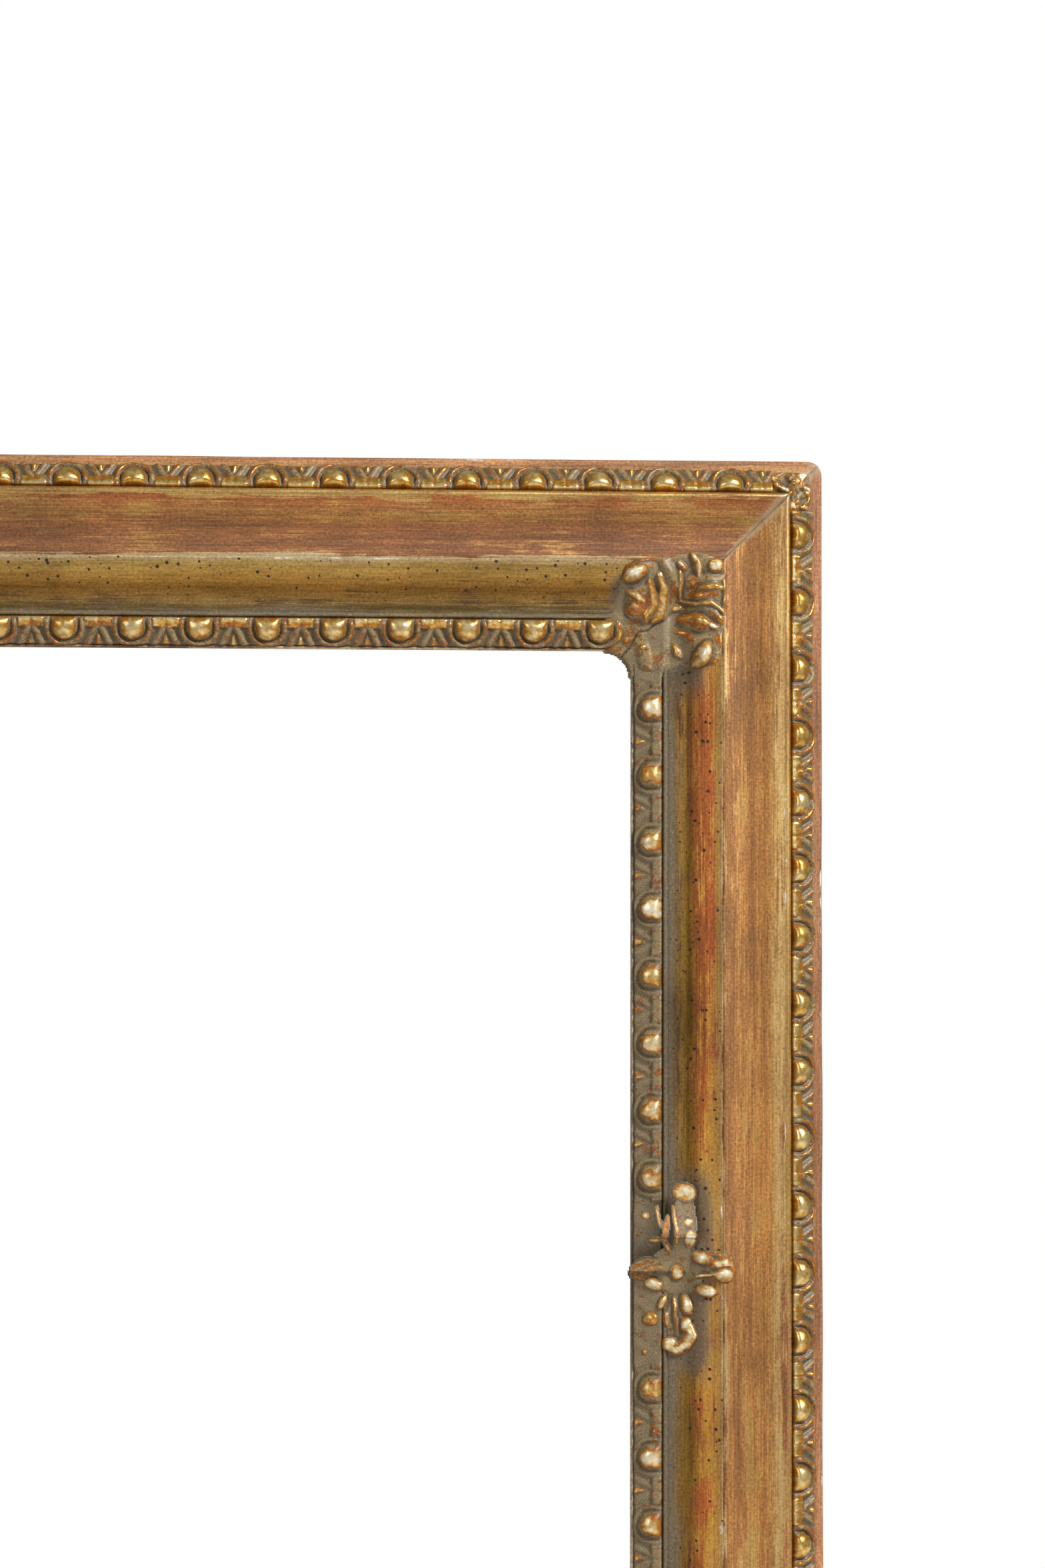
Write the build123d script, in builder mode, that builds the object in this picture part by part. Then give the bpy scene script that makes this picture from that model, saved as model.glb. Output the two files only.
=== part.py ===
from build123d import *
import os
from math import cos, hypot, radians, sin, tan

# An ornate gilded picture frame that stands upright, in millimetres.
# X runs along the width, Z is up and the gilded front faces -Y.
# The origin is the middle of the back frame's bottom face.
#
# A softwood back frame, half-lapped and pegged at its corners, carries four mitred and
# gilded mouldings. The mouldings reach past the back frame and so form the rebate that
# the picture lies in. Pressed egg-and-dart runs, corner leaves and centre flowers are
# applied on the mouldings. Turn buttons hold the picture, and two rings hang the frame.

# Driving dimensions
picture_width = 610.0
picture_height = 500.0
picture_play = 1.0
rebate_lap = 7.5
back_thickness = 20.0
corner_wear_radius = 6.0
back_bevel = 1.6

# The moulding's section, from the outer edge inwards: widths of its bands, and the
# heights of their ends over the front of the back frame
band_width = 4.2
band_height = 12.0
outer_bed_width = 9.3
outer_bed_height = 17.0
ridge_width = 3.0
ridge_height = 20.0
ridge_round = 0.4
frieze_width = 23.1
frieze_end_height = 17.5
frieze_hollow = 2.4
step_width = 0.8
step_drop = 0.8
ogee_width = 19.6
ogee_end_height = 7.0
ogee_turn_share = 0.58
ogee_bow_share = 0.1
groove_width = 0.8
groove_depth = 0.5
bead_width = 1.4
bead_height = 7.6
inner_bed_width = 11.0
inner_bed_start_height = 6.2
inner_bed_height = 1.6
lip_width = 1.3
lip_height = 2.2

# The pressed egg-and-dart runs, measured on the sloping bed that they lie on
egg_pitch = 26.2
run_edge_gap = 0.3
run_end_gap = 0.3
run_thickness = 2.2
egg_half_width = 4.8
egg_height = 4.8
egg_crown_share = 0.5
channel_width = 1.7
channel_floor = 0.7
hollow_slope_share = 1.05
husk_toe = 0.9
dart_width = 4.0
dart_length = 4.6
dart_height = 1.2
dart_edge_gap = 0.6
outer_first_egg_long_rail = 36.9
outer_first_egg_short_rail = 29.9
inner_first_egg_long_rail = 86.8
inner_first_egg_short_rail_end = 97.4
inner_first_egg_short_rail_start = 88.8
inner_run_corner = 80.0
inner_flower_gap_long_rail = 50.0
inner_flower_gap_short_rail_end = 36.6
inner_flower_gap_short_rail_start = 45.4

# The applied leaves and flowers
glue_gap = 0.3
leaf_ground = 1.8
cover_lap = 3.8
sight_fill_radius = 10.5
sight_fill_sides = 24
inner_leaf_block = 26.0
inner_leaf_reach = 79.7
lobe_along = 72.0
lobe_inset = 53.5
lobe_length = 22.0
lobe_width = 22.0
lobe_height = 4.2
lobe_turn = 12.0
bulb_along = 74.8
bulb_inset = 47.0
bulb_length = 11.0
bulb_width = 5.6
bulb_height = 6.0
bulb_turn = -20.0
palm_inset = 50.0
palm_height = 3.6
finger_length = 15.0
finger_width = 5.4
finger_spread = 34.0
boss_root = 1.0
boss_shoulder_share = 0.27
boss_outline_shares = (
    (0.5, 0), (0.25, 0.5), (-0.25, 0.5), (-0.5, 0), (-0.25, -0.5), (0.25, -0.5)
)
lobe_boss_share = 0.72
finger_shift_share = 0.45
outer_leaf_reach = 20.0
outer_leaf_toe = 1.6
outer_leaf_shoulder = 3.4
outer_knob_side = 14.5
outer_knob_foot = 0.6
outer_knob_height = 2.6
outer_knob_shoulder_share = 0.25
outer_knob_slope_share = 0.7
petal_up_length = 35.0
petal_down_length = 33.0
petal_sight_length = 18.2
petal_frieze_length = 21.4
petal_width = 13.0
petal_narrow_width = 10.5
petal_overhang = 1.5
bud_inset = 57.4
bud_height = 5.2
petal_outline_shares = ((0, 0.3), (0.72, 0.5), (1, 0))
# Each boss of the flower: its place along and across in shares of the longest and of the
# frieze petal, its length and width in shares of the longest petal's, its height in shares
# of the bud's, and its turn in degrees
flower_boss_shares = (
    (0, 0, 0.29, 0.62, 1, 0),
    (0.48, 0, 0.72, 0.32, 0.72, 0),
    (-0.46, 0, 0.7, 0.32, 0.72, 0),
    (0.02, 0.46, 0.4, 0.32, 0.72, 90),
    (0, -0.6, 0.44, 0.5, 0.72, 90),
    (0.88, -0.06, 0.28, 0.56, 1.15, 70),
    (-0.82, 0.06, 0.28, 0.56, 1.15, -60),
)

# Fastenings of the wood
peg_radius = 4.5
peg_clearance = 0.1
nail_side = 2.4
nail_bite = 11.0
nail_head_side = 7.0
nail_head_height = 1.3
nail_clearance = 0.05
nail_tip_gap = 0.5
nails_long_rail = 4
nails_short_rail = 2
nail_inset = 14.0

# The ring hangers and the turn buttons
hanger_drop = 203.0
ring_wire_radius = 1.5
ring_clearance = 0.08
ring_inner_width = 22.0
ring_inner_drop = 20.0
ring_corner_cut = 3.0
plate_thickness = 1.2
plate_width = 14.0
plate_length = 40.0
plate_tip_width = 8.0
plate_tip_length = 7.0
barrel_lift = 0.2
hanger_hole_first = 7.6
hanger_hole_spacing = 24.0
screw_shank_radius = 1.6
screw_length = 14.0
screw_head_radius = 3.0
screw_head_height = 1.5
screw_head_share = 0.6
screw_clearance = 0.08
screw_tip_gap = 0.5
button_length = 34.0
button_width = 10.0
button_tip_width = 5.0
button_waist_length = 12.0
button_thickness = 1.4
button_lift = 0.3
button_inset = 9.5
button_hub_width = 8.4
button_hub_height = 0.6
button_head_gap = 0.1

# One overrun serves every cut
cut_over = 2.0

# Places across the rail, counted from the outer edge
band_end = band_width
outer_bed_end = band_end + outer_bed_width
ridge_end = outer_bed_end + ridge_width
frieze_end = ridge_end + frieze_width
step_end = frieze_end + step_width
ogee_end = step_end + ogee_width
groove_end = ogee_end + groove_width
bead_end = groove_end + bead_width
inner_bed_end = bead_end + inner_bed_width
moulding_width = inner_bed_end + lip_width
back_rail_width = moulding_width - rebate_lap

# The whole frame
frame_width = picture_width + picture_play + 2 * back_rail_width
frame_height = picture_height + picture_play + 2 * back_rail_width
seat_y = -back_thickness / 2
back_y = back_thickness / 2
step_height = frieze_end_height - step_drop
ogee_fall = (step_height - ogee_end_height) / ogee_width

# Each rail's plane lies on the seat between back frame and moulding. Its X runs along
# the rail, its Y runs inwards from the outer edge and its Z points out at the front.
rails = {
    "top": Plane(origin=(0, seat_y, frame_height), x_dir=(-1, 0, 0), z_dir=(0, -1, 0)),
    "bottom": Plane(origin=(0, seat_y, 0), x_dir=(1, 0, 0), z_dir=(0, -1, 0)),
    "left": Plane(
        origin=(-frame_width / 2, seat_y, frame_height / 2), x_dir=(0, 0, -1), z_dir=(0, -1, 0)
    ),
    "right": Plane(
        origin=(frame_width / 2, seat_y, frame_height / 2), x_dir=(0, 0, 1), z_dir=(0, -1, 0)
    ),
}
half_lengths = {
    "top": frame_width / 2,
    "bottom": frame_width / 2,
    "left": frame_height / 2,
    "right": frame_height / 2,
}
long_rails = ("top", "bottom")
# The corner at the start of each rail
corner_names = {
    "top": "top_right", "right": "bottom_right", "bottom": "bottom_left", "left": "top_left"
}
front_plane = Plane(origin=(0, seat_y, frame_height / 2), x_dir=(1, 0, 0), z_dir=(0, -1, 0))
back_plane = Plane(origin=(0, back_y, frame_height / 2), x_dir=(-1, 0, 0), z_dir=(0, 1, 0))

os.makedirs("parts", exist_ok=True)


def save(made, name):
    """Labels a finished piece and writes it as a node of its own."""
    made.part.label = name
    export_step(made.part, f"parts/{name}.step")


def section_plane(rail, along):
    """A plane across the rail at a place along it: X runs inwards, Y out at the front."""
    return Plane(
        origin=rail.from_local_coords((along, 0, 0)), x_dir=rail.y_dir, z_dir=rail.x_dir
    )


def mitre_plane(rail, half_length, end):
    """The 45 degree plane at one end of a rail, facing away from the rail."""
    return Plane(
        origin=rail.from_local_coords((end * half_length, 0, 0)),
        z_dir=rail.x_dir * end + rail.y_dir,
    )


def ogee_height(inset):
    """The height of the straight line under the ogee's two arcs."""
    share = (inset - step_end) / ogee_width
    return step_height + share * (ogee_end_height - step_height)


def ogee_arcs(mode=Mode.ADD):
    """The ogee's front line: a round arc and a hollow one that meet in one slope."""
    turn_inset = step_end + ogee_turn_share * ogee_width
    turn = (turn_inset, ogee_height(turn_inset))
    chord = hypot(ogee_width, step_height - ogee_end_height)
    return (
        SagittaArc(
            (step_end, step_height), turn, ogee_bow_share * ogee_turn_share * chord, mode=mode
        ),
        SagittaArc(
            turn,
            (ogee_end, ogee_end_height),
            -ogee_bow_share * (1 - ogee_turn_share) * chord,
            mode=mode,
        ),
    )


def ogee_facets(lift):
    """Points along the ogee, raised by lift, for what is laid over it in flat facets."""
    round_arc, hollow_arc = ogee_arcs(Mode.PRIVATE)
    spots = [round_arc @ (1 / 3), round_arc @ (2 / 3), hollow_arc @ 0, hollow_arc @ 1]
    return [(step_end, frieze_end_height + lift)] + [(spot.X, spot.Y + lift) for spot in spots]


# The back frame

def back_blank():
    """The back frame in one piece, before it is parted into its four members."""
    with BuildPart() as blank:
        with BuildSketch(back_plane):
            Rectangle(frame_width, frame_height)
        extrude(amount=-back_thickness)
        chamfer(blank.faces().sort_by(Axis.Y)[-1].edges(), back_bevel)
        with BuildSketch(back_plane):
            RectangleRounded(frame_width, frame_height, corner_wear_radius)
        extrude(amount=-back_thickness, mode=Mode.INTERSECT)
        with BuildSketch(back_plane.offset(cut_over)):
            Rectangle(frame_width - 2 * back_rail_width, frame_height - 2 * back_rail_width)
        extrude(amount=-back_thickness - 2 * cut_over, mode=Mode.SUBTRACT)
    return blank


def fixing_plane(x, z, depth):
    """A plane that faces out of the back, at a place on it and a depth under it."""
    return Plane(origin=(x, back_y - depth, z), x_dir=(-1, 0, 0), z_dir=(0, 1, 0))


def corner_places():
    """The middles of the four corner laps."""
    x = frame_width / 2 - back_rail_width / 2
    z = back_rail_width / 2
    return [(side * x, high) for side in (-1, 1) for high in (z, frame_height - z)]


def nail_places(side):
    """Where the nails go through one back member: evenly between its corner laps."""
    rail = rails[side]
    count = nails_long_rail if side in long_rails else nails_short_rail
    clear_half = half_lengths[side] - back_rail_width
    step = 2 * clear_half / count
    places = []
    for k in range(count):
        spot = rail.from_local_coords((-clear_half + (k + 0.5) * step, nail_inset, 0))
        places.append((spot.X, spot.Z))
    return places


def hanger_places():
    """The ring axes' middles, one on each back stile."""
    x = frame_width / 2 - back_rail_width / 2
    z = frame_height - hanger_drop
    return {"left": (-x, z), "right": (x, z)}


def hanger_screw_places():
    """Two screws under each ring."""
    drops = (hanger_hole_first, hanger_hole_first + hanger_hole_spacing)
    return [(x, z - drop) for x, z in hanger_places().values() for drop in drops]


def button_places():
    """The turn buttons' pivots, beside the rebate at the middle of each member."""
    inset = back_rail_width - button_inset
    places = {}
    for side, rail in rails.items():
        spot = rail.from_local_coords((0, inset, 0))
        places[side] = (spot.X, spot.Z)
    return places


def holes(places, outline, depth):
    """The shape of holes of one outline, down from the back."""
    with BuildPart() as bored:
        for x, z in places:
            with BuildSketch(fixing_plane(x, z, depth)):
                outline()
            extrude(amount=depth + cut_over)
    return bored.part


def nail_hole():
    Rectangle(nail_side + 2 * nail_clearance, nail_side + 2 * nail_clearance)


def peg_hole():
    RegularPolygon(peg_radius + peg_clearance, 6)


def screw_hole():
    RegularPolygon(screw_shank_radius + screw_clearance, 6, major_radius=False)


def back_member(side, blank):
    """One member of the back frame. Stiles keep the back half at a lap, rails the front."""
    rail = rails[side]
    half = half_lengths[side]
    lap_plane = Plane(origin=(0, 0, 0), x_dir=(1, 0, 0), z_dir=(0, -1, 0))
    upright = side not in long_rails
    with BuildPart() as member:
        add(blank.part)
        with BuildSketch(rail.offset(-back_thickness)):
            with Locations((0, back_rail_width / 2)):
                Rectangle(2 * half, back_rail_width)
        extrude(amount=back_thickness, mode=Mode.INTERSECT)
        for high in (0, frame_height - back_rail_width):
            for across in (-frame_width / 2, frame_width / 2 - back_rail_width):
                with BuildSketch(lap_plane):
                    with Locations((across, high)):
                        Rectangle(back_rail_width, back_rail_width, align=(Align.MIN, Align.MIN))
                reach = back_thickness / 2 if upright else -back_thickness / 2
                extrude(amount=reach, mode=Mode.SUBTRACT)
        add(holes(corner_places(), peg_hole, back_thickness + cut_over), mode=Mode.SUBTRACT)
        add(holes(nail_places(side), nail_hole, back_thickness + cut_over), mode=Mode.SUBTRACT)
        screw_places = [button_places()[side]] + (hanger_screw_places() if upright else [])
        add(holes(screw_places, screw_hole, screw_length + screw_tip_gap), mode=Mode.SUBTRACT)
    return member


def corner_pegs():
    """Whittled pegs through the corner laps, flush at both faces."""
    with BuildPart() as pegs:
        for x, z in corner_places():
            with BuildSketch(fixing_plane(x, z, back_thickness)):
                RegularPolygon(peg_radius, 6)
            extrude(amount=back_thickness)
    return pegs


def moulding_nails():
    """Square forged nails with flat square heads, driven from the back."""
    with BuildPart() as nails:
        for side in rails:
            for x, z in nail_places(side):
                with BuildSketch(fixing_plane(x, z, back_thickness + nail_bite)):
                    Rectangle(nail_side, nail_side)
                extrude(amount=back_thickness + nail_bite)
                with BuildSketch(fixing_plane(x, z, 0)):
                    Rectangle(nail_head_side, nail_head_side)
                extrude(amount=nail_head_height)
    return nails


# The gilded mouldings

def moulding(side):
    """One mitred moulding, its section run along the rail."""
    rail = rails[side]
    half = half_lengths[side]
    with BuildPart() as made:
        with BuildSketch(section_plane(rail, -half)):
            with BuildLine():
                Polyline(
                    (0, 0),
                    (0, band_height),
                    (band_end, band_height),
                    (outer_bed_end, outer_bed_height),
                    (outer_bed_end, ridge_height),
                )
                SagittaArc((outer_bed_end, ridge_height), (ridge_end, ridge_height), ridge_round)
                SagittaArc(
                    (ridge_end, ridge_height), (frieze_end, frieze_end_height), -frieze_hollow
                )
                Polyline(
                    (frieze_end, frieze_end_height),
                    (frieze_end, step_height),
                    (step_end, step_height),
                )
                ogee_arcs()
                Polyline(
                    (ogee_end, ogee_end_height),
                    (groove_end, ogee_end_height - groove_depth),
                    (groove_end, bead_height),
                    (bead_end, bead_height),
                    (bead_end, inner_bed_start_height),
                    (inner_bed_end, inner_bed_height),
                    (inner_bed_end, lip_height),
                    (moulding_width, lip_height),
                    (moulding_width, 0),
                    (0, 0),
                )
            make_face()
        extrude(amount=2 * half)
        for end in (-1, 1):
            split(bisect_by=mitre_plane(rail, half, end), keep=Keep.BOTTOM)
        with BuildSketch(front_plane):
            RectangleRounded(frame_width, frame_height, corner_wear_radius)
        extrude(amount=ridge_height + ridge_round + cut_over, mode=Mode.INTERSECT)
        nail_depth = back_thickness + nail_bite + nail_tip_gap
        add(holes(nail_places(side), nail_hole, nail_depth), mode=Mode.SUBTRACT)
    return made


# The egg-and-dart runs

def husk_outline(half_width, flat_end):
    """A straight-sided outline round the run's origin, with half an octagon as its end."""
    edge = half_width * tan(radians(22.5))
    return [
        (half_width, flat_end),
        (half_width, -edge),
        (edge, -half_width),
        (-edge, -half_width),
        (-half_width, -edge),
        (-half_width, flat_end),
    ]


def block(plane, points, height):
    """A straight block on an outline of points."""
    with BuildPart() as straight:
        with BuildSketch(plane):
            with BuildLine():
                Polyline(*points, close=True)
            make_face()
        extrude(amount=height)
    return straight


def egg_shapes(bed_width):
    """The hollow that slopes down inside the husk's rim, and the egg that swells in it."""
    rim = egg_half_width + channel_width
    middle = run_edge_gap + husk_toe + rim
    flat_end = bed_width - run_edge_gap - middle
    depth = run_thickness - channel_floor
    floor = Plane((0, middle, channel_floor))
    hollow = block(floor, husk_outline(rim, flat_end), depth + cut_over)
    with hollow:
        base = hollow.faces().sort_by(Axis.Z)[0]
        chamfer(
            base.edges().sort_by(Axis.Y)[:-1],
            channel_width,
            depth * hollow_slope_share,
            reference=base,
        )
    egg = block(Plane((0, middle, 0)), husk_outline(egg_half_width, flat_end), egg_height)
    with egg:
        crown = egg.faces().sort_by(Axis.Z)[-1]
        chamfer(
            crown.edges().sort_by(Axis.Y)[:-1],
            egg_half_width * (1 - egg_crown_share),
            egg_height - channel_floor,
            reference=crown,
        )
    return hollow.part, egg.part


def dart_shape():
    """The pointed dart between two husks: a low pyramid, highest near the run's edge."""
    foot = [
        (-dart_width / 2, dart_edge_gap),
        (dart_width / 2, dart_edge_gap),
        (0, dart_edge_gap + dart_length),
    ]
    peak = Vector(0, dart_edge_gap + dart_length / 4, run_thickness + dart_height)
    with BuildPart() as dart:
        add(block(Plane.XY.offset(channel_floor), foot, run_thickness + dart_height).part)
        for first, second in zip(foot, foot[1:] + foot[:1]):
            low = Vector(*first, run_thickness)
            side = Vector(*second, run_thickness) - low
            split(bisect_by=Plane(origin=low, z_dir=side.cross(peak - low)), keep=Keep.BOTTOM)
    return dart.part


def outer_bed(rail):
    """The plane of the outer run's bed: X along the rail, Y up the slope to the ridge."""
    rise = outer_bed_height - band_height
    return Plane(
        origin=rail.from_local_coords((0, band_end, band_height)),
        x_dir=rail.x_dir,
        z_dir=rail.z_dir * outer_bed_width - rail.y_dir * rise,
    )


def inner_bed(rail):
    """The plane of the inner run's bed: Y up the slope, away from the sight edge."""
    rise = inner_bed_start_height - inner_bed_height
    return Plane(
        origin=rail.from_local_coords((0, inner_bed_end, inner_bed_height)),
        x_dir=rail.x_dir * -1,
        z_dir=rail.z_dir * inner_bed_width + rail.y_dir * rise,
    )


def spaced(start, end, pitch):
    """Evenly spaced places from start to end, as near the pitch as they divide."""
    count = max(1, round((end - start) / pitch))
    return [start + (end - start) * k / count for k in range(count + 1)]


def outer_egg_places(side):
    """Egg centres on an outer run, mirrored about the egg at the rail's middle."""
    first = outer_first_egg_long_rail if side in long_rails else outer_first_egg_short_rail
    right = spaced(0, half_lengths[side] - first, egg_pitch)
    return [-place for place in reversed(right[1:])] + right


def inner_egg_places(side):
    """Egg centres on an inner run, in two groups beside the centre flower.

    They are counted from the rail's end to its start, as the inner bed's plane runs."""
    half = half_lengths[side]
    if side in long_rails:
        group = spaced(inner_flower_gap_long_rail, half - inner_first_egg_long_rail, egg_pitch)
        return [-place for place in reversed(group)] + group
    to_end = spaced(
        inner_flower_gap_short_rail_end, half - inner_first_egg_short_rail_end, egg_pitch
    )
    to_start = spaced(
        inner_flower_gap_short_rail_start, half - inner_first_egg_short_rail_start, egg_pitch
    )
    return [-place for place in reversed(to_end)] + to_start


def egg_run(bed, bed_width, half_run, places):
    """A pressed run: its flat body, with eggs in their husks and darts between them."""
    half_pitch = (places[1] - places[0]) / 2
    darts = [place + half_pitch for place in places[:-1]]
    darts = [place for place in darts if min(abs(place - egg) for egg in places) > egg_half_width]
    channel, egg = egg_shapes(bed_width)
    dart = dart_shape()
    with BuildPart(bed) as run:
        with BuildSketch(bed):
            with Locations((0, bed_width / 2)):
                Rectangle(2 * half_run, bed_width - 2 * run_edge_gap)
        extrude(amount=run_thickness)
        with Locations(*[(place, 0) for place in places]):
            add(channel, mode=Mode.SUBTRACT)
            add(egg)
        with Locations(*[(place, 0) for place in darts]):
            add(dart)
    return run


# The applied corner leaves and centre flowers

def over_outer_bed(place):
    """The height of the outer bed at a place across the rail."""
    return band_height + (place - band_end) * (outer_bed_height - band_height) / outer_bed_width


def over_inner_bed(place, above):
    """The height at a place across the inner bed, a distance above its slope."""
    slope = (inner_bed_start_height - inner_bed_height) / inner_bed_width
    return inner_bed_height + (inner_bed_end - place) * slope + above * hypot(1, slope)


def cover_underside(sight_end):
    """The underside of what is laid over the moulding, clear of it by the glue gap."""
    under = run_thickness + glue_gap
    return [
        (frieze_end - cover_lap, frieze_end_height + glue_gap),
        *ogee_facets(glue_gap),
        (bead_end, over_inner_bed(bead_end, under)),
        (sight_end, over_inner_bed(sight_end, under)),
    ]


def cover_layer(rail, start, end, thickness, fill=0):
    """A layer that follows the moulding from the frieze's edge to past the sight edge.

    With a fill it runs on past the sight edge and down to the seat."""
    edge = moulding_width + glue_gap
    over = run_thickness + thickness
    if fill:
        top = over_inner_bed(edge, over)
        sight_side = [(edge, 0), (edge + fill, 0), (edge + fill, top), (edge, top)]
    else:
        edge += petal_overhang
        sight_side = [(edge, over_inner_bed(edge, over))]
    with BuildPart() as layer:
        with BuildSketch(section_plane(rail, start)):
            with BuildLine():
                Polyline(
                    *cover_underside(edge),
                    *sight_side,
                    (bead_end, over_inner_bed(bead_end, over)),
                    *reversed(ogee_facets(thickness)),
                    (frieze_end - cover_lap, frieze_end_height + thickness),
                    close=True,
                )
            make_face()
        extrude(amount=end - start)
    return layer.part


def clearance_block(rail, start, end, sight_end):
    """All that lies under a cover's underside, to trim its bosses by."""
    with BuildPart() as under:
        with BuildSketch(section_plane(rail, start)):
            with BuildLine():
                Polyline(
                    (0, -cut_over),
                    (0, frieze_end_height + glue_gap),
                    *cover_underside(sight_end),
                    (sight_end, -cut_over),
                    close=True,
                )
            make_face()
        extrude(amount=end - start)
    return under.part


def corner_plane(side):
    """The front plane with its origin at the outer corner where a rail starts."""
    rail = rails[side]
    return Plane(
        origin=rail.from_local_coords((-half_lengths[side], 0, 0)),
        x_dir=rail.x_dir,
        z_dir=rail.z_dir,
    )


def boss_plane(base, along, inset, height, fall_along, fall_inset, turn):
    """A plane on falling ground. Its X points along the ground, turned from the base's X."""
    heading = base.x_dir * cos(radians(turn)) + base.y_dir * sin(radians(turn))
    up = base.z_dir + base.x_dir * fall_along + base.y_dir * fall_inset
    level = heading - up * (heading.dot(up) / up.dot(up))
    return Plane(origin=base.from_local_coords((along, inset, height)), x_dir=level, z_dir=up)


def boss(plane, length, width, height):
    """A low carved boss: a long six-sided block whose crown is chamfered all round."""
    points = [(length * along, width * across) for along, across in boss_outline_shares]
    raised = block(plane.offset(-boss_root), points, boss_root + height)
    with raised:
        crown = raised.faces().sort_by(Axis(plane.origin, plane.z_dir))[-1]
        chamfer(crown.edges(), width * boss_shoulder_share, height, reference=crown)
    return raised.part


def inner_corner_leaf(side):
    """The leaf over the inner mitre: two side lobes with bulbs and a palmette between.

    Its web rounds the corner of the sight opening."""
    rail = rails[side]
    half = half_lengths[side]
    corner = corner_plane(side)
    mitre = mitre_plane(rail, half, -1)
    edge = moulding_width + glue_gap
    lap_start = frieze_end - cover_lap
    web = inner_leaf_reach - ogee_end
    with BuildPart() as layer:
        add(cover_layer(rail, -half, inner_leaf_reach + lobe_width - half, leaf_ground,
                        sight_fill_radius))
        split(bisect_by=mitre, keep=Keep.BOTTOM)
        mirror(about=mitre)
    with BuildPart() as clear:
        add(clearance_block(rail, -half, inner_leaf_reach + lobe_width - half, edge))
        split(bisect_by=mitre, keep=Keep.BOTTOM)
        mirror(about=mitre)
    with BuildPart() as leaf:
        with BuildSketch(corner):
            with Locations((lap_start, lap_start)):
                Rectangle(inner_leaf_block, inner_leaf_block, align=(Align.MIN, Align.MIN))
            with Locations((ogee_end, ogee_end)):
                Rectangle(web, web, align=(Align.MIN, Align.MIN))
            with Locations((edge + sight_fill_radius, edge + sight_fill_radius)):
                RegularPolygon(sight_fill_radius, sight_fill_sides, mode=Mode.SUBTRACT)
            with Locations((lobe_along, lobe_inset)):
                RegularPolygon(lobe_width / 2, 6)
            with Locations((lobe_inset, lobe_along)):
                RegularPolygon(lobe_width / 2, 6, rotation=90)
        extrude(amount=ridge_height)
        add(layer.part, mode=Mode.INTERSECT)
        ground = ogee_height(lobe_inset)
        lobe = boss_plane(corner, lobe_along, lobe_inset, ground, 0, ogee_fall, lobe_turn)
        bulb = boss_plane(
            corner, bulb_along, bulb_inset, ogee_height(bulb_inset), 0, ogee_fall, bulb_turn
        )
        side_bosses = [
            boss(lobe, lobe_length * lobe_boss_share, lobe_width * lobe_boss_share, lobe_height),
            boss(bulb, bulb_length, bulb_width, bulb_height),
        ]
        for piece in side_bosses:
            add(piece)
            add(mirror(piece, about=mitre, mode=Mode.PRIVATE))
        fall = ogee_fall / 2
        for spread in (-finger_spread, 0, finger_spread):
            finger = boss_plane(
                corner, palm_inset, palm_inset, ogee_height(palm_inset), fall, fall, 45 + spread
            )
            shift = finger_length * finger_shift_share
            root = Plane(
                origin=finger.from_local_coords((-shift, 0, 0)),
                x_dir=finger.x_dir,
                z_dir=finger.z_dir,
            )
            add(boss(root, finger_length, finger_width, palm_height))
        add(clear.part, mode=Mode.SUBTRACT)
    return leaf


def outer_corner_leaf(side):
    """The small knobbed leaf that covers the mitre of the outer egg runs."""
    rail = rails[side]
    half = half_lengths[side]
    corner = corner_plane(side)
    mitre = mitre_plane(rail, half, -1)
    middle = band_end + outer_knob_side / 2
    shoulder_height = ridge_height + ridge_round + glue_gap
    with BuildPart() as leaf:
        with BuildSketch(section_plane(rail, -half)):
            with BuildLine():
                Polyline(
                    (band_end, band_height),
                    (outer_bed_end - run_edge_gap, over_outer_bed(outer_bed_end - run_edge_gap)),
                    (outer_bed_end - run_edge_gap, shoulder_height + outer_knob_foot),
                    (band_end + outer_leaf_shoulder, shoulder_height + outer_knob_foot),
                    (band_end, band_height + outer_leaf_toe),
                    close=True,
                )
            make_face()
        extrude(amount=outer_leaf_reach)
        split(bisect_by=mitre, keep=Keep.BOTTOM)
        mirror(about=mitre)
        knob = Plane(
            origin=corner.from_local_coords((middle, middle, shoulder_height)),
            x_dir=corner.x_dir + corner.y_dir,
            z_dir=corner.z_dir,
        )
        with BuildSketch(knob):
            RegularPolygon(outer_knob_side / 2, 6)
        extrude(amount=outer_knob_height)
        crown = leaf.faces().sort_by(Axis(knob.origin, knob.z_dir))[-1]
        chamfer(
            crown.edges(),
            outer_knob_side * outer_knob_shoulder_share,
            outer_knob_height * outer_knob_slope_share,
            reference=crown,
        )
    return leaf


def petal_outline(length, width):
    """A pointed petal that leaves the flower's middle along X."""
    upper = [(length * along, width * across) for along, across in petal_outline_shares]
    return upper + [(x, -y) for x, y in reversed(upper) if y > 0]


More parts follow.
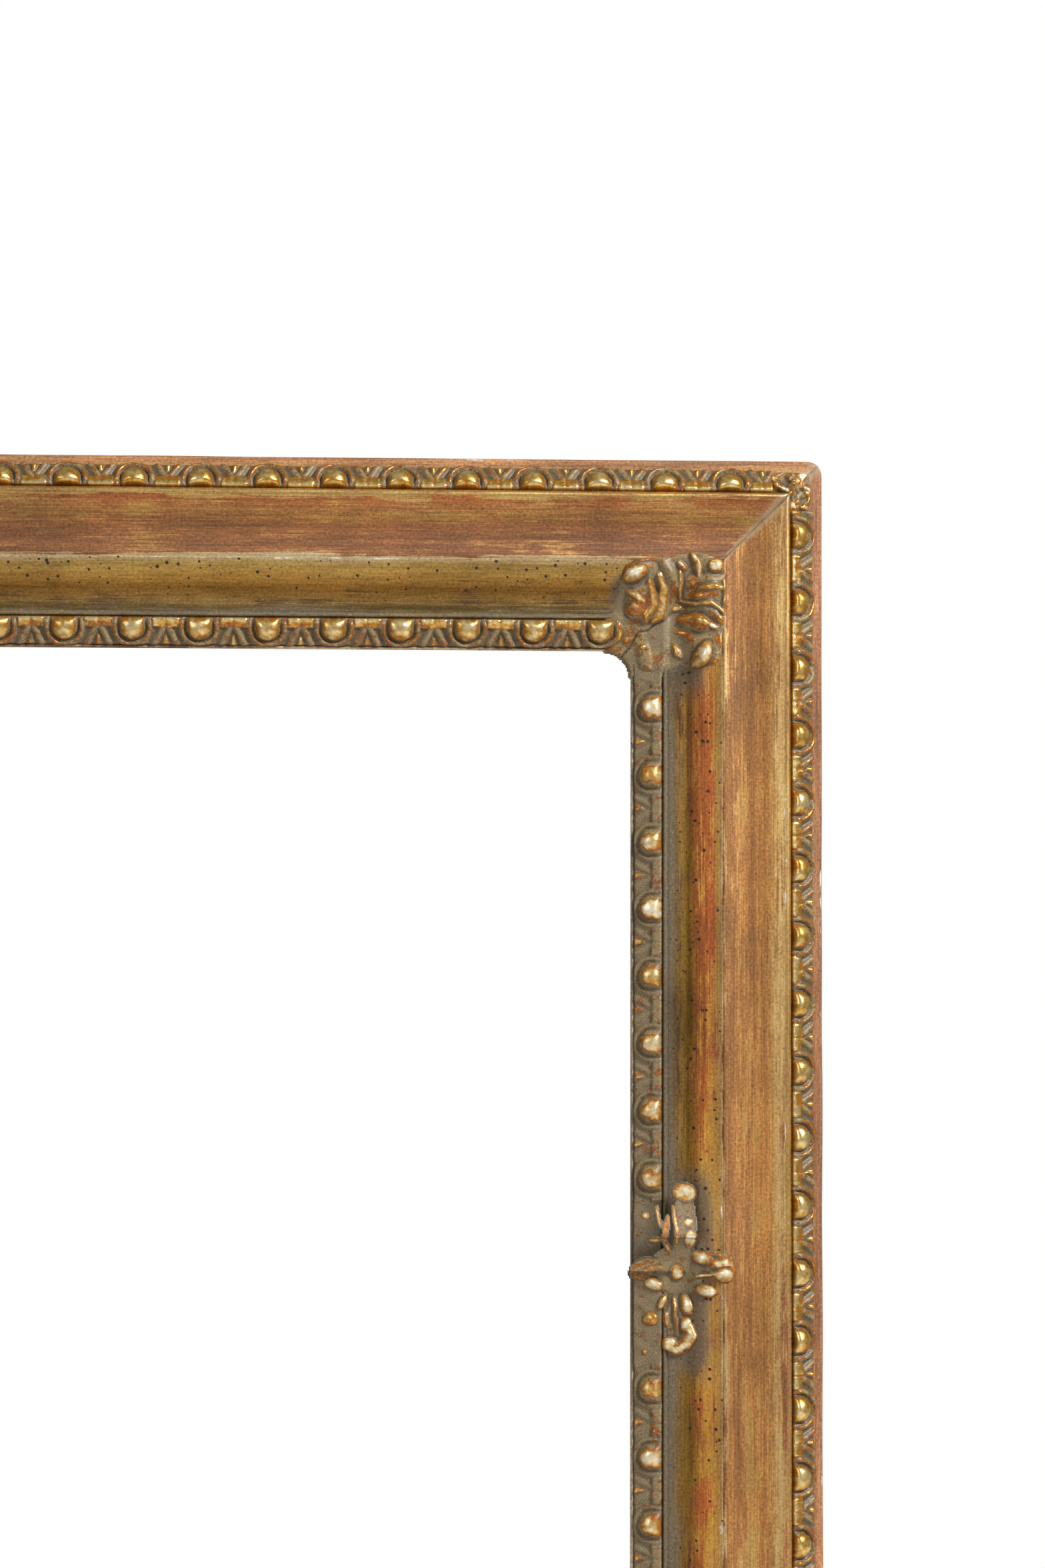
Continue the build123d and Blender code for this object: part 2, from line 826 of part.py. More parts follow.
def centre_flower(side):
    """The applied flower at a rail's middle: four petals, with a bud, ribs and frills."""
    rail = rails[side]
    middle = Plane(
        origin=rail.from_local_coords((0, bud_inset, 0)), x_dir=rail.x_dir, z_dir=rail.z_dir
    )
    petals = (
        (0, petal_up_length, petal_width),
        (180, petal_down_length, petal_width),
        (90, petal_sight_length, petal_narrow_width),
        (270, petal_frieze_length, petal_width),
    )
    edge = moulding_width + glue_gap + petal_overhang
    with BuildPart() as flower:
        with BuildSketch(middle):
            for turn, length, width in petals:
                with BuildLine(Plane.XY.rotated((0, 0, turn))):
                    Polyline(*petal_outline(length, width), close=True)
                make_face()
        extrude(amount=ridge_height + ridge_round)
        add(cover_layer(rail, -petal_down_length, petal_up_length, leaf_ground),
            mode=Mode.INTERSECT)
        for along, across, length, width, height, turn in flower_boss_shares:
            inset = bud_inset + petal_frieze_length * across
            ground = min(ogee_height(inset), frieze_end_height)
            plane = boss_plane(
                middle, petal_up_length * along, inset - bud_inset, ground, 0, ogee_fall, turn
            )
            add(boss(plane, petal_up_length * length, petal_width * width, bud_height * height))
        add(clearance_block(rail, -2 * petal_down_length, 2 * petal_up_length, edge),
            mode=Mode.SUBTRACT)
    return flower


# The ring hangers

def hanger_plate(place):
    """A strap rolled round the ring's bar, with two screw holes below it."""
    x, z = place
    barrel_radius = ring_wire_radius + ring_clearance + plate_thickness
    axis_lift = barrel_radius + barrel_lift
    face = fixing_plane(x, z, 0)
    barrel = Plane(
        origin=(x - plate_width / 2, back_y + axis_lift, z), x_dir=(0, 1, 0), z_dir=(1, 0, 0)
    )
    with BuildPart() as plate:
        with BuildSketch(face):
            with BuildLine():
                Polyline(
                    (-plate_width / 2, 0),
                    (plate_width / 2, 0),
                    (plate_width / 2, plate_tip_length - plate_length),
                    (plate_tip_width / 2, -plate_length),
                    (-plate_tip_width / 2, -plate_length),
                    (-plate_width / 2, plate_tip_length - plate_length),
                    close=True,
                )
            make_face()
            with Locations((0, -hanger_hole_first), (0, -hanger_hole_first - hanger_hole_spacing)):
                RegularPolygon(
                    screw_shank_radius + screw_clearance, 8, major_radius=False, mode=Mode.SUBTRACT
                )
        extrude(amount=plate_thickness)
        with BuildSketch(barrel):
            RegularPolygon(barrel_radius, 8, major_radius=False, rotation=22.5)
        extrude(amount=plate_width)
        with BuildSketch(barrel):
            RegularPolygon(ring_wire_radius + ring_clearance, 8, major_radius=False)
        extrude(amount=plate_width, mode=Mode.SUBTRACT)
    return plate


def hanger_ring(place):
    """A ring bent to a D: its straight side turns in the strap, its bow hangs below."""
    x, z = place
    barrel_radius = ring_wire_radius + ring_clearance + plate_thickness
    axis_y = back_y + barrel_radius + barrel_lift
    plane = Plane(origin=(x, axis_y, z), x_dir=(-1, 0, 0), z_dir=(0, 1, 0))
    half = ring_inner_width / 2 + ring_wire_radius
    bow_middle = half - ring_inner_drop - 2 * ring_wire_radius
    bow_points = [
        (half * cos(radians(turn)), bow_middle + half * sin(radians(turn)))
        for turn in range(0, -181, -36)
    ]
    with BuildPart() as ring:
        with BuildLine(plane):
            Polyline(
                (0, 0),
                (half - ring_corner_cut, 0),
                (half, -ring_corner_cut),
                *bow_points,
                (-half, -ring_corner_cut),
                (ring_corner_cut - half, 0),
                close=True,
            )
        with BuildSketch(Plane(origin=plane.origin, z_dir=plane.x_dir)):
            RegularPolygon(ring_wire_radius, 6)
        sweep(transition=Transition.RIGHT)
    return ring


def round_screws(places, seat):
    """Round-headed wood screws whose heads sit at a height over the back."""
    with BuildPart() as screws:
        for x, z in places:
            face = fixing_plane(x, z, -seat)
            with BuildSketch(face):
                RegularPolygon(screw_shank_radius, 6)
            extrude(amount=-screw_length)
            with BuildSketch(face):
                RegularPolygon(screw_head_radius, 6)
            head = extrude(amount=screw_head_height)
            chamfer(
                head.faces().sort_by(Axis.Y)[-1].edges(), screw_head_height * screw_head_share
            )
    return screws


def turn_button(side):
    """A brass turn button on a central screw, at rest along its member."""
    x, z = button_places()[side]
    face = Plane(origin=(x, back_y + button_lift, z), x_dir=rails[side].x_dir, z_dir=(0, 1, 0))
    with BuildPart() as button:
        with BuildSketch(face):
            with BuildLine():
                Polyline(
                    (button_length / 2, button_tip_width / 2),
                    (button_waist_length / 2, button_width / 2),
                    (-button_waist_length / 2, button_width / 2),
                    (-button_length / 2, button_tip_width / 2),
                    (-button_length / 2, -button_tip_width / 2),
                    (-button_waist_length / 2, -button_width / 2),
                    (button_waist_length / 2, -button_width / 2),
                    (button_length / 2, -button_tip_width / 2),
                    close=True,
                )
            make_face()
        extrude(amount=button_thickness)
        with BuildSketch(face.offset(button_thickness)):
            RegularPolygon(button_hub_width / 2, 6)
        extrude(amount=button_hub_height)
        with BuildSketch(face):
            RegularPolygon(screw_shank_radius + screw_clearance, 8, major_radius=False)
        extrude(amount=button_thickness + button_hub_height, mode=Mode.SUBTRACT)
    return button


parts_made = {}
blank = back_blank()
for side in rails:
    parts_made[f"back_frame_{side}"] = back_member(side, blank)
    parts_made[f"moulding_{side}"] = moulding(side)
    parts_made[f"outer_egg_run_{side}"] = egg_run(
        outer_bed(rails[side]),
        hypot(outer_bed_width, outer_bed_height - band_height),
        half_lengths[side] - outer_leaf_reach - run_end_gap,
        outer_egg_places(side),
    )
    parts_made[f"inner_egg_run_{side}"] = egg_run(
        inner_bed(rails[side]),
        hypot(inner_bed_width, inner_bed_start_height - inner_bed_height),
        half_lengths[side] - inner_run_corner,
        inner_egg_places(side),
    )
    parts_made[f"centre_flower_{side}"] = centre_flower(side)
    parts_made[f"turn_button_{side}"] = turn_button(side)
for side, corner_name in corner_names.items():
    parts_made[f"inner_corner_leaf_{corner_name}"] = inner_corner_leaf(side)
    parts_made[f"outer_corner_leaf_{corner_name}"] = outer_corner_leaf(side)
for side, place in hanger_places().items():
    parts_made[f"hanger_plate_{side}"] = hanger_plate(place)
    parts_made[f"hanger_ring_{side}"] = hanger_ring(place)
parts_made["corner_pegs"] = corner_pegs()
parts_made["moulding_nails"] = moulding_nails()
parts_made["hanger_screws"] = round_screws(hanger_screw_places(), plate_thickness)
parts_made["turn_button_screws"] = round_screws(
    button_places().values(),
    button_lift + button_thickness + button_hub_height + button_head_gap,
)

for name, made in parts_made.items():
    save(made, name)
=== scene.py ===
from math import cos, hypot, pi, radians, sin, sqrt

import bmesh
import bpy
from mathutils import Matrix, Vector, noise


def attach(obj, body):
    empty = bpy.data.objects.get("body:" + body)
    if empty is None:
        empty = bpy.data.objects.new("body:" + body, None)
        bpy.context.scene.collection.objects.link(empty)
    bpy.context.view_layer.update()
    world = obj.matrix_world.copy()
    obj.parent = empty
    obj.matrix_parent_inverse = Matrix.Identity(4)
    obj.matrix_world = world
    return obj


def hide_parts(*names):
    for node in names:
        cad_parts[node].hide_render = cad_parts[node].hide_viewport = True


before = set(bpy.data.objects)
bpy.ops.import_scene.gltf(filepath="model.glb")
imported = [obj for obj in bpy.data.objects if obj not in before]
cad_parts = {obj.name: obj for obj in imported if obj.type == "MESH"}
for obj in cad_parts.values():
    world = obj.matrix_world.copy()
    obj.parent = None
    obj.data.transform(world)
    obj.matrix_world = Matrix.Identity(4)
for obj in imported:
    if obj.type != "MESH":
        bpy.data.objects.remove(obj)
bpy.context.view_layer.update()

# An ornate gilded picture frame. Lengths are worked out in millimetres, as in the CAD, and
# each finished mesh is scaled to metres once. Each rail has its own axes: X along the rail,
# Y inwards from the outer edge, Z out at the front of the back frame.

METRE = 0.001
WIDTH, HEIGHT, BACK = 745.0, 635.0, 20.0
SEAT = -BACK / 2
CORNER_ROUND = 6.0

RAILS = {
    "top": ((0, SEAT, HEIGHT), (-1, 0, 0), (0, 0, -1), WIDTH / 2),
    "right": ((WIDTH / 2, SEAT, HEIGHT / 2), (0, 0, 1), (-1, 0, 0), HEIGHT / 2),
    "bottom": ((0, SEAT, 0), (1, 0, 0), (0, 0, 1), WIDTH / 2),
    "left": ((-WIDTH / 2, SEAT, HEIGHT / 2), (0, 0, -1), (1, 0, 0), HEIGHT / 2),
}
CORNERS = {"top": "top_right", "right": "bottom_right", "bottom": "bottom_left",
           "left": "top_left"}
NUMBER = {side: number for number, side in enumerate(RAILS)}
LYING = ("top", "bottom")
# How far the leaf has worn to red bole on each rail, from 0 to 1
REDNESS = {"top": 0.12, "right": 0.85, "bottom": 0.3, "left": 0.6}
# How much dirt lies in the hollows of each rail's inner egg run, and of every outer run
GRIME = {"top": 0.25, "right": 1.0, "bottom": 0.5, "left": 0.75}
OUTER_GRIME = 0.1

# The moulding's section: places across the rail from its outer edge, and heights over the seat
BAND, OUTER_BED, RIDGE, STEP, BEAD, INNER_BED, SIGHT = 4.2, 13.5, 16.5, 40.4, 62.2, 73.2, 74.5
BAND_TOP, BED_TOP, RIDGE_TOP, STEP_FOOT, BEAD_FOOT, SIGHT_FOOT = 12, 17, 20, 16.7, 6.2, 1.6
# Sizes of the meshes' cells
SKIN_CELL, RUN_CELL, PATCH_CELL, OUTER_PATCH_CELL = 1.25, 0.6, 0.5, 0.4


def to_front(side, start=0.0):
    """The matrix that takes a rail's axes in millimetres to the frame's in metres."""
    origin, along, inward, half = RAILS[side]
    along, inward = Vector(along), Vector(inward)
    origin = Vector(origin) + along * start * half
    out = along.cross(inward)
    turn = Matrix((along, inward, out)).transposed().to_4x4()
    return Matrix.Scale(METRE, 4) @ Matrix.Translation(origin) @ turn


def ease(low, high, value):
    """Goes smoothly from 0 at low to 1 at high."""
    share = min(1.0, max(0.0, (value - low) / (high - low)))
    return share * share * (3 - 2 * share)


def blend_max(first, second, soft):
    """The greater of two heights, with the inside corner between them softened."""
    near = max(soft - abs(first - second), 0.0)
    return max(first, second) + near * near / (4 * soft)


def ripple(x, y, z, size):
    """Smooth unevenness between -1 and 1, of a size in millimetres."""
    return noise.noise(Vector((x / size, y / size, z / size)))


# Camera

def camera():
    lens = bpy.data.cameras.new("camera")
    eye = bpy.data.objects.new("camera", lens)
    bpy.context.scene.collection.objects.link(eye)
    lens.sensor_fit = "VERTICAL"
    lens.sensor_height = 36.0
    lens.lens = 85.0
    lens.clip_start, lens.clip_end = 0.05, 20.0
    # Fitted to the photo's edges: in front of the frame, turned a little up and to the right
    turn = Matrix.Rotation(radians(-3.5), 4, "Z") @ Matrix.Rotation(radians(90 + 2.8), 4, "X")
    roll = Matrix.Rotation(radians(0.108), 4, "Z")
    eye.matrix_world = Matrix.Translation((0.1666, -1.4617, 0.4368)) @ turn @ roll
    bpy.context.scene.camera = eye


# Materials

def paint(code):
    """A linear colour from an sRGB hex value, or from a plain share."""
    if not isinstance(code, str):
        return (code, code, code, 1.0)
    shares = [int(code[k:k + 2], 16) / 255 for k in (0, 2, 4)]
    return (*(s / 12.92 if s <= 0.04045 else ((s + 0.055) / 1.055) ** 2.4 for s in shares), 1.0)


def add_node(tree, kind, inputs=None, output=None, stops=None, **settings):
    """Adds a node with its settings and links, and gives one of its outputs."""
    made = tree.nodes.new("ShaderNode" + kind)
    for name, value in settings.items():
        setattr(made, name, value)
    if stops:
        ends = made.color_ramp.elements
        ends[0].position, ends[1].position = stops[0][0], stops[-1][0]
        ends[0].color, ends[1].color = paint(stops[0][1]), paint(stops[-1][1])
        for place, value in stops[1:-1]:
            ends.new(place).color = paint(value)
    for name, value in (inputs or {}).items():
        if isinstance(name, int):
            socket = made.inputs[name]
        else:
            socket = next(s for s in made.inputs if s.enabled and s.name == name)
        if isinstance(value, bpy.types.NodeSocket):
            tree.links.new(value, socket)
        else:
            socket.default_value = value
    return next(s for s in made.outputs if s.enabled and output in (None, s.name))


def new_material(name):
    material = bpy.data.materials.new(name)
    material.use_nodes = True
    material.node_tree.nodes.clear()
    return material, material.node_tree


def finish_material(tree, inputs, height=None, depth=0.0):
    """The shader and output of a material, with its fine relief."""
    if height is not None:
        inputs["Normal"] = add_node(tree, "Bump", {
            "Height": height, "Strength": 1.0, "Distance": depth})
    shader = add_node(tree, "BsdfPrincipled", inputs)
    out = tree.nodes.new("ShaderNodeOutputMaterial")
    tree.links.new(shader, out.inputs["Surface"])


# Pieces

def finish_piece(name, bm, body, material, node, smooth=True):
    """Makes a finished bmesh an object that rides on its body and stands for its node."""
    bmesh.ops.recalc_face_normals(bm, faces=bm.faces)
    for face in bm.faces:
        face.smooth = smooth
    mesh = bpy.data.meshes.new(name)
    bm.to_mesh(mesh)
    bm.free()
    mesh.materials.append(material)
    piece = bpy.data.objects.new(name, mesh)
    bpy.context.scene.collection.objects.link(piece)
    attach(piece, body)
    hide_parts(node)


def close_holes(bm):
    bmesh.ops.holes_fill(bm, edges=[edge for edge in bm.edges if edge.is_boundary], sides=0)


def of_kind(items, kind):
    return [item for item in items if isinstance(item, kind)]


def section_points():
    """The moulding's front, from the seat at the outer edge to the seat at the sight edge."""
    points = [(0, 0), (0, 5.5), (0, 11.2), (0.25, 11.8), (0.8, 12), (2.4, 12), (3.7, 12.05)]
    points += [(BAND + (OUTER_BED - BAND) * k / 5, BAND_TOP + (BED_TOP - BAND_TOP) * k / 5)
               for k in range(6)]
    points += [(13.5, 19.2), (13.7, 19.8), (14.3, 20.25), (15.0, 20.4), (15.8, 20.25),
               (16.4, 20.0)]
    # The frieze, 23.1 mm wide, falls 2.5 mm and sags 2.4 mm under its chord
    for k in range(1, 19):
        share = k / 19
        sag = 2.4 * 4 * share * (1 - share)
        points.append((RIDGE + 23.1 * share, RIDGE_TOP - 2.5 * share - sag))
    points += [(39.35, 17.5), (39.6, 17.3), (39.75, 16.85), (STEP, STEP_FOOT)]
    # The ogee bows out over the first 0.58 of its chord and in over the rest
    chord_x, chord_h = 19.6, -9.7
    length = hypot(chord_x, chord_h)
    for way, start, part, count, steps in ((1, 0.0, 0.58, 13, range(1, 13)),
                                           (-1, 0.58, 0.42, 10, range(11))):
        for k in steps:
            share = start + part * k / count
            bow = way * 0.1 * part * length * 4 * (k / count) * (1 - k / count)
            points.append((STEP + chord_x * share - bow * chord_h / length,
                           STEP_FOOT + chord_h * share + bow * chord_x / length))
    points += [(60.3, 6.7), (60.6, 6.6), (60.8, 7.1), (61.1, 7.5), (61.5, 7.6), (61.9, 7.5),
               (62.2, 7.1), (62.25, 6.3)]
    points += [(BEAD + (INNER_BED - BEAD) * k / 4, BEAD_FOOT - (BEAD_FOOT - SIGHT_FOOT) * k / 4)
               for k in range(1, 5)]
    points += [(73.3, 2.0), (73.6, 2.2), (74.1, 2.2), (74.4, 2.0), (74.5, 1.5), (74.5, 0)]
    return points


def front_height(inset):
    """The height of the moulding's front at a place across it."""
    for (a, low), (b, high) in zip(FRONT, FRONT[1:]):
        if a <= inset <= b and b > a:
            return low + (high - low) * (inset - a) / (b - a)
    return FRONT[-1][1] if inset > SIGHT else FRONT[0][1]


def moulding_skin(side):
    """A mitred length of the section, with rounded outer corners, as a closed mesh."""
    half, last = RAILS[side][3], len(FRONT) - 1
    bm = bmesh.new()
    bmesh.ops.create_grid(bm, x_segments=int(half / SKIN_CELL), y_segments=last, size=1.0)
    place_at = bm.verts.layers.float_vector.new("rail_place")
    state_at = bm.verts.layers.float_vector.new("red_seam_grime")
    seed = NUMBER[side] * 7.3
    corner = half - CORNER_ROUND
    for vert in bm.verts:
        inset, height = FRONT[round((vert.co.y + 1) / 2 * last)]
        # Cells crowd towards the ends, where the corner rounds
        t = sin(vert.co.x * pi / 2) * 0.35 + vert.co.x * 0.65
        x = t * (half - inset)
        # Hand-laid gesso is never quite flat
        lift = 0.0
        if height > 1 and 0.1 < inset < 74.3:
            lift = 0.12 * ripple(x, inset, seed, 24) + 0.05 * ripple(x, inset, seed, 7)
        # Dirt lies up the ogee round the corner leaves and the flower
        by_leaf = ease(84 + 28 * REDNESS[side], 79, half - abs(x))
        grime = 0.85 * max(by_leaf, ease(50, 26, abs(x))) * ease(40, 50, inset)
        # Places on the side wall are counted on down from the front
        wall = max(0.0, BAND_TOP - height) if inset < 0.3 else 0.0
        vert[place_at] = (x * METRE, (inset - wall) * METRE, seed)
        vert[state_at] = (REDNESS[side], half - inset - abs(x), grime)
        if inset < 3:
            inset += 0.3 * (1 + ripple(x, 0, seed, 45)) * (1 - t * t)
        if abs(x) > corner and inset < CORNER_ROUND:
            out, up = abs(x) - corner, CORNER_ROUND - inset
            if hypot(out, up) > CORNER_ROUND:
                shrink = CORNER_ROUND / hypot(out, up)
                x = (corner + out * shrink) * (1 if x > 0 else -1)
                inset = CORNER_ROUND - up * shrink
        vert.co = (x, inset, height + lift)
    on_seat = [edge for edge in bm.edges
               if edge.is_boundary and max(abs(vert.co.z) for vert in edge.verts) < 1e-6]
    bmesh.ops.bridge_loops(bm, edges=on_seat)
    close_holes(bm)
    bm.transform(to_front(side))
    finish_piece("moulding_skin_" + side, bm, "frame", GILDING,
                 "moulding_" + side)


# The egg-and-dart runs

EGG_HALF, EGG_MIDDLE, HUSK_REACH, ARM_HALF, GROUND = 5.3, 7.6, 2.9, 1.45, 1.2
# How far a run's strip stops before the corner, and its bare border along both edges
OUTER_SHORT, INNER_SHORT, BORDER = 20.3, 80, 0.3


def outer_places(side):
    """Where the eggs' middles lie along the outer run."""
    count, short = (13, 36.9) if side in LYING else (11, 29.9)
    reach = RAILS[side][3] - short
    return [reach * k / count for k in range(-count, count + 1)]


def spaced(start, end, count):
    return [start + (end - start) * k / count for k in range(count + 1)]


def inner_places(side):
    """Where the eggs' middles lie along the inner run, on both sides of the flower."""
    half = RAILS[side][3]
    if side in LYING:
        group = spaced(50.0, half - 86.8, 9)
        return [-place for place in reversed(group)] + group
    to_start = spaced(45.4, half - 88.8, 7)
    return [-place for place in reversed(to_start)] + spaced(36.6, half - 97.4, 7)


def off_line(start, end, x, y):
    """How far a place lies off a straight line, and the share of the way along it."""
    (ax, ay), (bx, by) = start, end
    dx, dy = bx - ax, by - ay
    share = min(1.0, max(0.0, ((x - ax) * dx + (y - ay) * dy) / (dx * dx + dy * dy)))
    return hypot(x - ax - share * dx, y - ay - share * dy), share


def egg_and_dart(along, up, width, gap, seed, age):
    """Height over the bed, how gilded the spot is, and how much dirt and painted shade darken
    it.

    Along is counted from the nearest egg's middle, and gap is half the way to the next.
    Age, from 0 to 1, is how far grime has closed in on the eggs."""
    low, dart = up - EGG_MIDDLE, gap - abs(along)
    reach = (hypot(along, low) if low < 0 else abs(along)) - EGG_HALF
    clean = 1 - 0.7 * age
    height, gilt, dirt_and_shade = GROUND, 0.05, 0.0
    # The flat ledge between two husks, on the high side, pricked by the maker
    ledge = ease(width - 4.6, width - 3.6, up) * ease(-0.4, 0.6, reach - HUSK_REACH + 0.7)
    height += ledge * (1.3 + 0.22 * ripple(along, up, seed, 0.8))
    gilt = max(gilt, ledge * (0.62 + 0.3 * ease(width - 2.6, width - 1.2, up)) * (1 - 0.8 * age))
    # Two rounded arms that lean together over the dart
    off = off_line((1.1, width - 4.4), (4.4, 1.1), dart, up)[0]
    if off < ARM_HALF:
        arm = (1 - (off / ARM_HALF) ** 2) ** 0.7
        height = blend_max(height, GROUND + 1.6 * arm * (1 - 0.6 * age), 0.4)
        # Painted shade darkens the ground at the arms' feet
        dirt_and_shade = max(dirt_and_shade, 0.4 * ease(0.35, 0.05, arm) * (1 - age))
    # The dart: wide at the low edge, pointing up the slope
    half = 1.7 * (1 - (up - 0.9) / 4.2)
    if 0.6 < up < 5.0 and dart < half:
        lift = (1 - dart / half) ** 0.8 * ease(0.5, 1.3, up)
        if 2.0 * lift > height - GROUND:
            gilt = max(gilt, 0.25 + 0.6 * lift)
        height = max(height, GROUND + 2.0 * lift)
    if reach > 0:
        # The husk: a thick round rim that ends in knobs beside the egg
        rim = (reach - 0.5) / (HUSK_REACH - 0.5)
        if 0 < rim < 1:
            fade = 1 - 0.7 * ease(width - 2.4, width - 0.7, up)
            bump = sin(pi * rim ** 0.7) ** 0.75
            top = 1.3 + 2.1 * bump * fade * (1 - 0.45 * age)
            height = blend_max(height * (1 - bump) + GROUND * bump, top, 0.25)
            gilt = gilt * (1 - ease(0.0, 0.4, bump)) + 0.24 * bump * clean
            # Painted shade darkens the husk's foot, most on the side towards the egg
            dirt_and_shade = max(dirt_and_shade, ease(0.5, 0.0, bump) * (0.5 if rim < 0.5 else 0.2) * clean)
        elif rim <= 0:
            # The channel round the egg is darkened with painted shade
            height, dirt_and_shade, gilt = 1.3, 0.6 * clean, 0.1
        # A thin line follows the husk
        fillet = max(0.0, 1 - abs(reach - HUSK_REACH - 0.3) / 0.45)
        height += 0.3 * fillet
        gilt = max(gilt, 0.2 * fillet * (1 - age))
    else:
        # The egg, a little flatter towards the run's high edge
        out = 1 + reach / EGG_HALF
        dome = sqrt(max(0.0, 1 - out * out)) ** 0.85
        slope = 1 - 0.2 * max(0.0, low / 3) ** 2
        end = 1 - ease(width - 1.1, width - 0.35, up) * 0.25
        height = max(GROUND, 0.5 + 4.8 * dome * slope * end)
        bare = dome + 0.16 * ripple(along, up, seed * 9 + 3, 3.0)
        gilt = 0.14 + 0.7 * ease(0.35 + 0.35 * age, 1.0, bare)
        # Painted shade darkens the egg's foot
        dirt_and_shade = 0.5 * ease(0.35, 0.0, dome) * clean
    height *= 1 - 0.35 * ease(1.0, 0.3, up)
    height += 0.16 * ripple(along + seed * 31, up, seed, 3.1)
    gilt += 0.3 * ease(width - 1.2, width - 0.5, up) * (1 - age)
    return height, gilt, dirt_and_shade


def hollows(heights, cell):
    """How far each point of a grid of heights lies under its surroundings, in millimetres."""
    near = round(1.1 / cell)
    found = {}
    for (i, j), height in heights.items():
        around = [heights.get((i + p * near, j + q * near), height)
                  for p in (-1, 0, 1) for q in (-1, 0, 1)]
        found[i, j] = sum(around) / 9 - height
    return found


def rubbed(gilt, dirt_and_shade, hollow, age=0.0):
    """Gilding shows on what stands up; dirt and painted shade darken what is hollow, less under
    grime.
    """
    raised = ease(0.05, 0.45, -hollow) * (1 - age)
    sunk = ease(0.06, 0.45, hollow) * (1 - 0.5 * age)
    return gilt + raised * max(0.0, 0.2 - 0.2 * gilt) - 0.4 * sunk, max(dirt_and_shade, 0.7 * sunk)


def relief_run(side, name, low, high, short, places, age):
    """One run as a closed strip: a grid along the bed, moved to the ornament's height.

    Low and high are the places and heights of the bed's two edges."""
    half_run = RAILS[side][3] - short
    width = hypot(high[0] - low[0], high[1] - low[1])
    up = Vector((0, high[0] - low[0], high[1] - low[1])) / width
    out = Vector((0, -up.z, up.y)) * (1 if up.y > 0 else -1)
    start = Vector((0, *low))
    span = width - 2 * BORDER
    count, rows = round(2 * half_run / RUN_CELL), round(span / RUN_CELL)
    bm = bmesh.new()
    bmesh.ops.create_grid(bm, x_segments=count, y_segments=rows + 2, size=1.0)
    place_at = bm.verts.layers.float_vector.new("rail_place")
    worn_at = bm.verts.layers.float_vector.new("gilt_dirt_shade_worn")
    gap = abs(places[1] - places[0]) / 2 + 0.01
    inner = name.startswith("inner")
    seed = NUMBER[side] + (10 if inner else 0)
    if not inner:
        # The pattern runs on under the corner leaves
        places = [places[0] - 2 * gap, *places, places[-1] + 2 * gap]
    heights, looks, spots = {}, {}, {}
    for vert in bm.verts:
        x = vert.co.x * half_run
        row = round((vert.co.y + 1) / 2 * (rows + 2))
        at = (round((vert.co.x + 1) / 2 * count), min(max(row - 1, 0), rows))
        across = BORDER + span * at[1] / rows
        spots[vert] = at, row, x, across
        if at in heights:
            continue
        nearest = min(range(len(places)), key=lambda k: abs(places[k] - x))
        offset = x - places[nearest]
        own = noise.cell(Vector((nearest * 3.1, seed, 0.5)))
        # Hand pressing: each egg sits a little off, and its lines waver
        pushed = offset + 0.3 * ripple(nearest * 9.7, seed, 0, 1) + 0.3 * ripple(
            x, across, seed, 3.4)
        lifted = across + 0.3 * ripple(seed, nearest * 5.3, 2, 1) + 0.3 * ripple(
            x, across, seed + 7, 3.4)
        height, gilt, dirt_and_shade = egg_and_dart(pushed, lifted, width, gap, own, age)
        # The plain ground under the flower and beyond the last eggs
        last = inner and (
            nearest in (0, len(places) - 1) and offset * (nearest - 0.5) > 0
            or abs(offset) > gap - 6 and abs(x) < abs(places[nearest]) < 55)
        plain = ease(gap - 4.4, gap - 2.6, abs(offset)) if last else ease(
            gap - 0.8, gap + 1.2, abs(offset))
        height += (1.5 + 0.5 * ripple(x, across, seed, 4) - height) * plain
        gilt += (0.13 - 0.1 * age - gilt) * plain
        worn = age * (0.55 + 0.45 * ripple(nearest * 4.3, seed, 5, 1)) if age > 0.3 else age
        heights[at], looks[at] = height, (gilt, dirt_and_shade * (1 - plain), worn)
    found = hollows(heights, RUN_CELL)
    for vert, (at, row, x, across) in spots.items():
        gilt, dirt_and_shade, worn = looks[at]
        height = 0.05 if row in (0, rows + 2) else heights[at]
        vert.co = start + Vector((x, 0, 0)) + up * across + out * height
        vert[place_at] = (x * METRE, across * METRE, seed * 0.37)
        vert[worn_at] = (*rubbed(gilt, dirt_and_shade, found[at], age), worn)
    bottom = [edge for edge in bm.edges if edge.is_boundary
              and min(abs(vert.co.x) for vert in edge.verts) < half_run - 0.01]
    bmesh.ops.bridge_loops(bm, edges=bottom)
    close_holes(bm)
    bm.transform(to_front(side))
    finish_piece(f"{name}_relief_{side}", bm, "frame", GILT_COMPOSITION,
                 f"{name}_{side}")


# Applied leaves and flowers: each is a grid raised by its bosses

# The photo's scale in millimetres to the pixel, and the pixels of the right and the top outer
# edge and of the flower's middle
PIXEL, RIGHT_EDGE, TOP_EDGE, FLOWER_MIDDLE = 0.262, 1229.5, 696, 1910


def boss(spot, x, y):
    """How much of a boss's height is left at a place, from 1 on its top to 0 at its foot."""
    cx, cy, length, width, _, turn = spot[:6]
    c, s = cos(radians(turn)), sin(radians(turn))
    u = ((x - cx) * c + (y - cy) * s) / (length / 2)
    v = (-(x - cx) * s + (y - cy) * c) / (width / 2)
    return max(0.0, 1 - u * u - v * v)


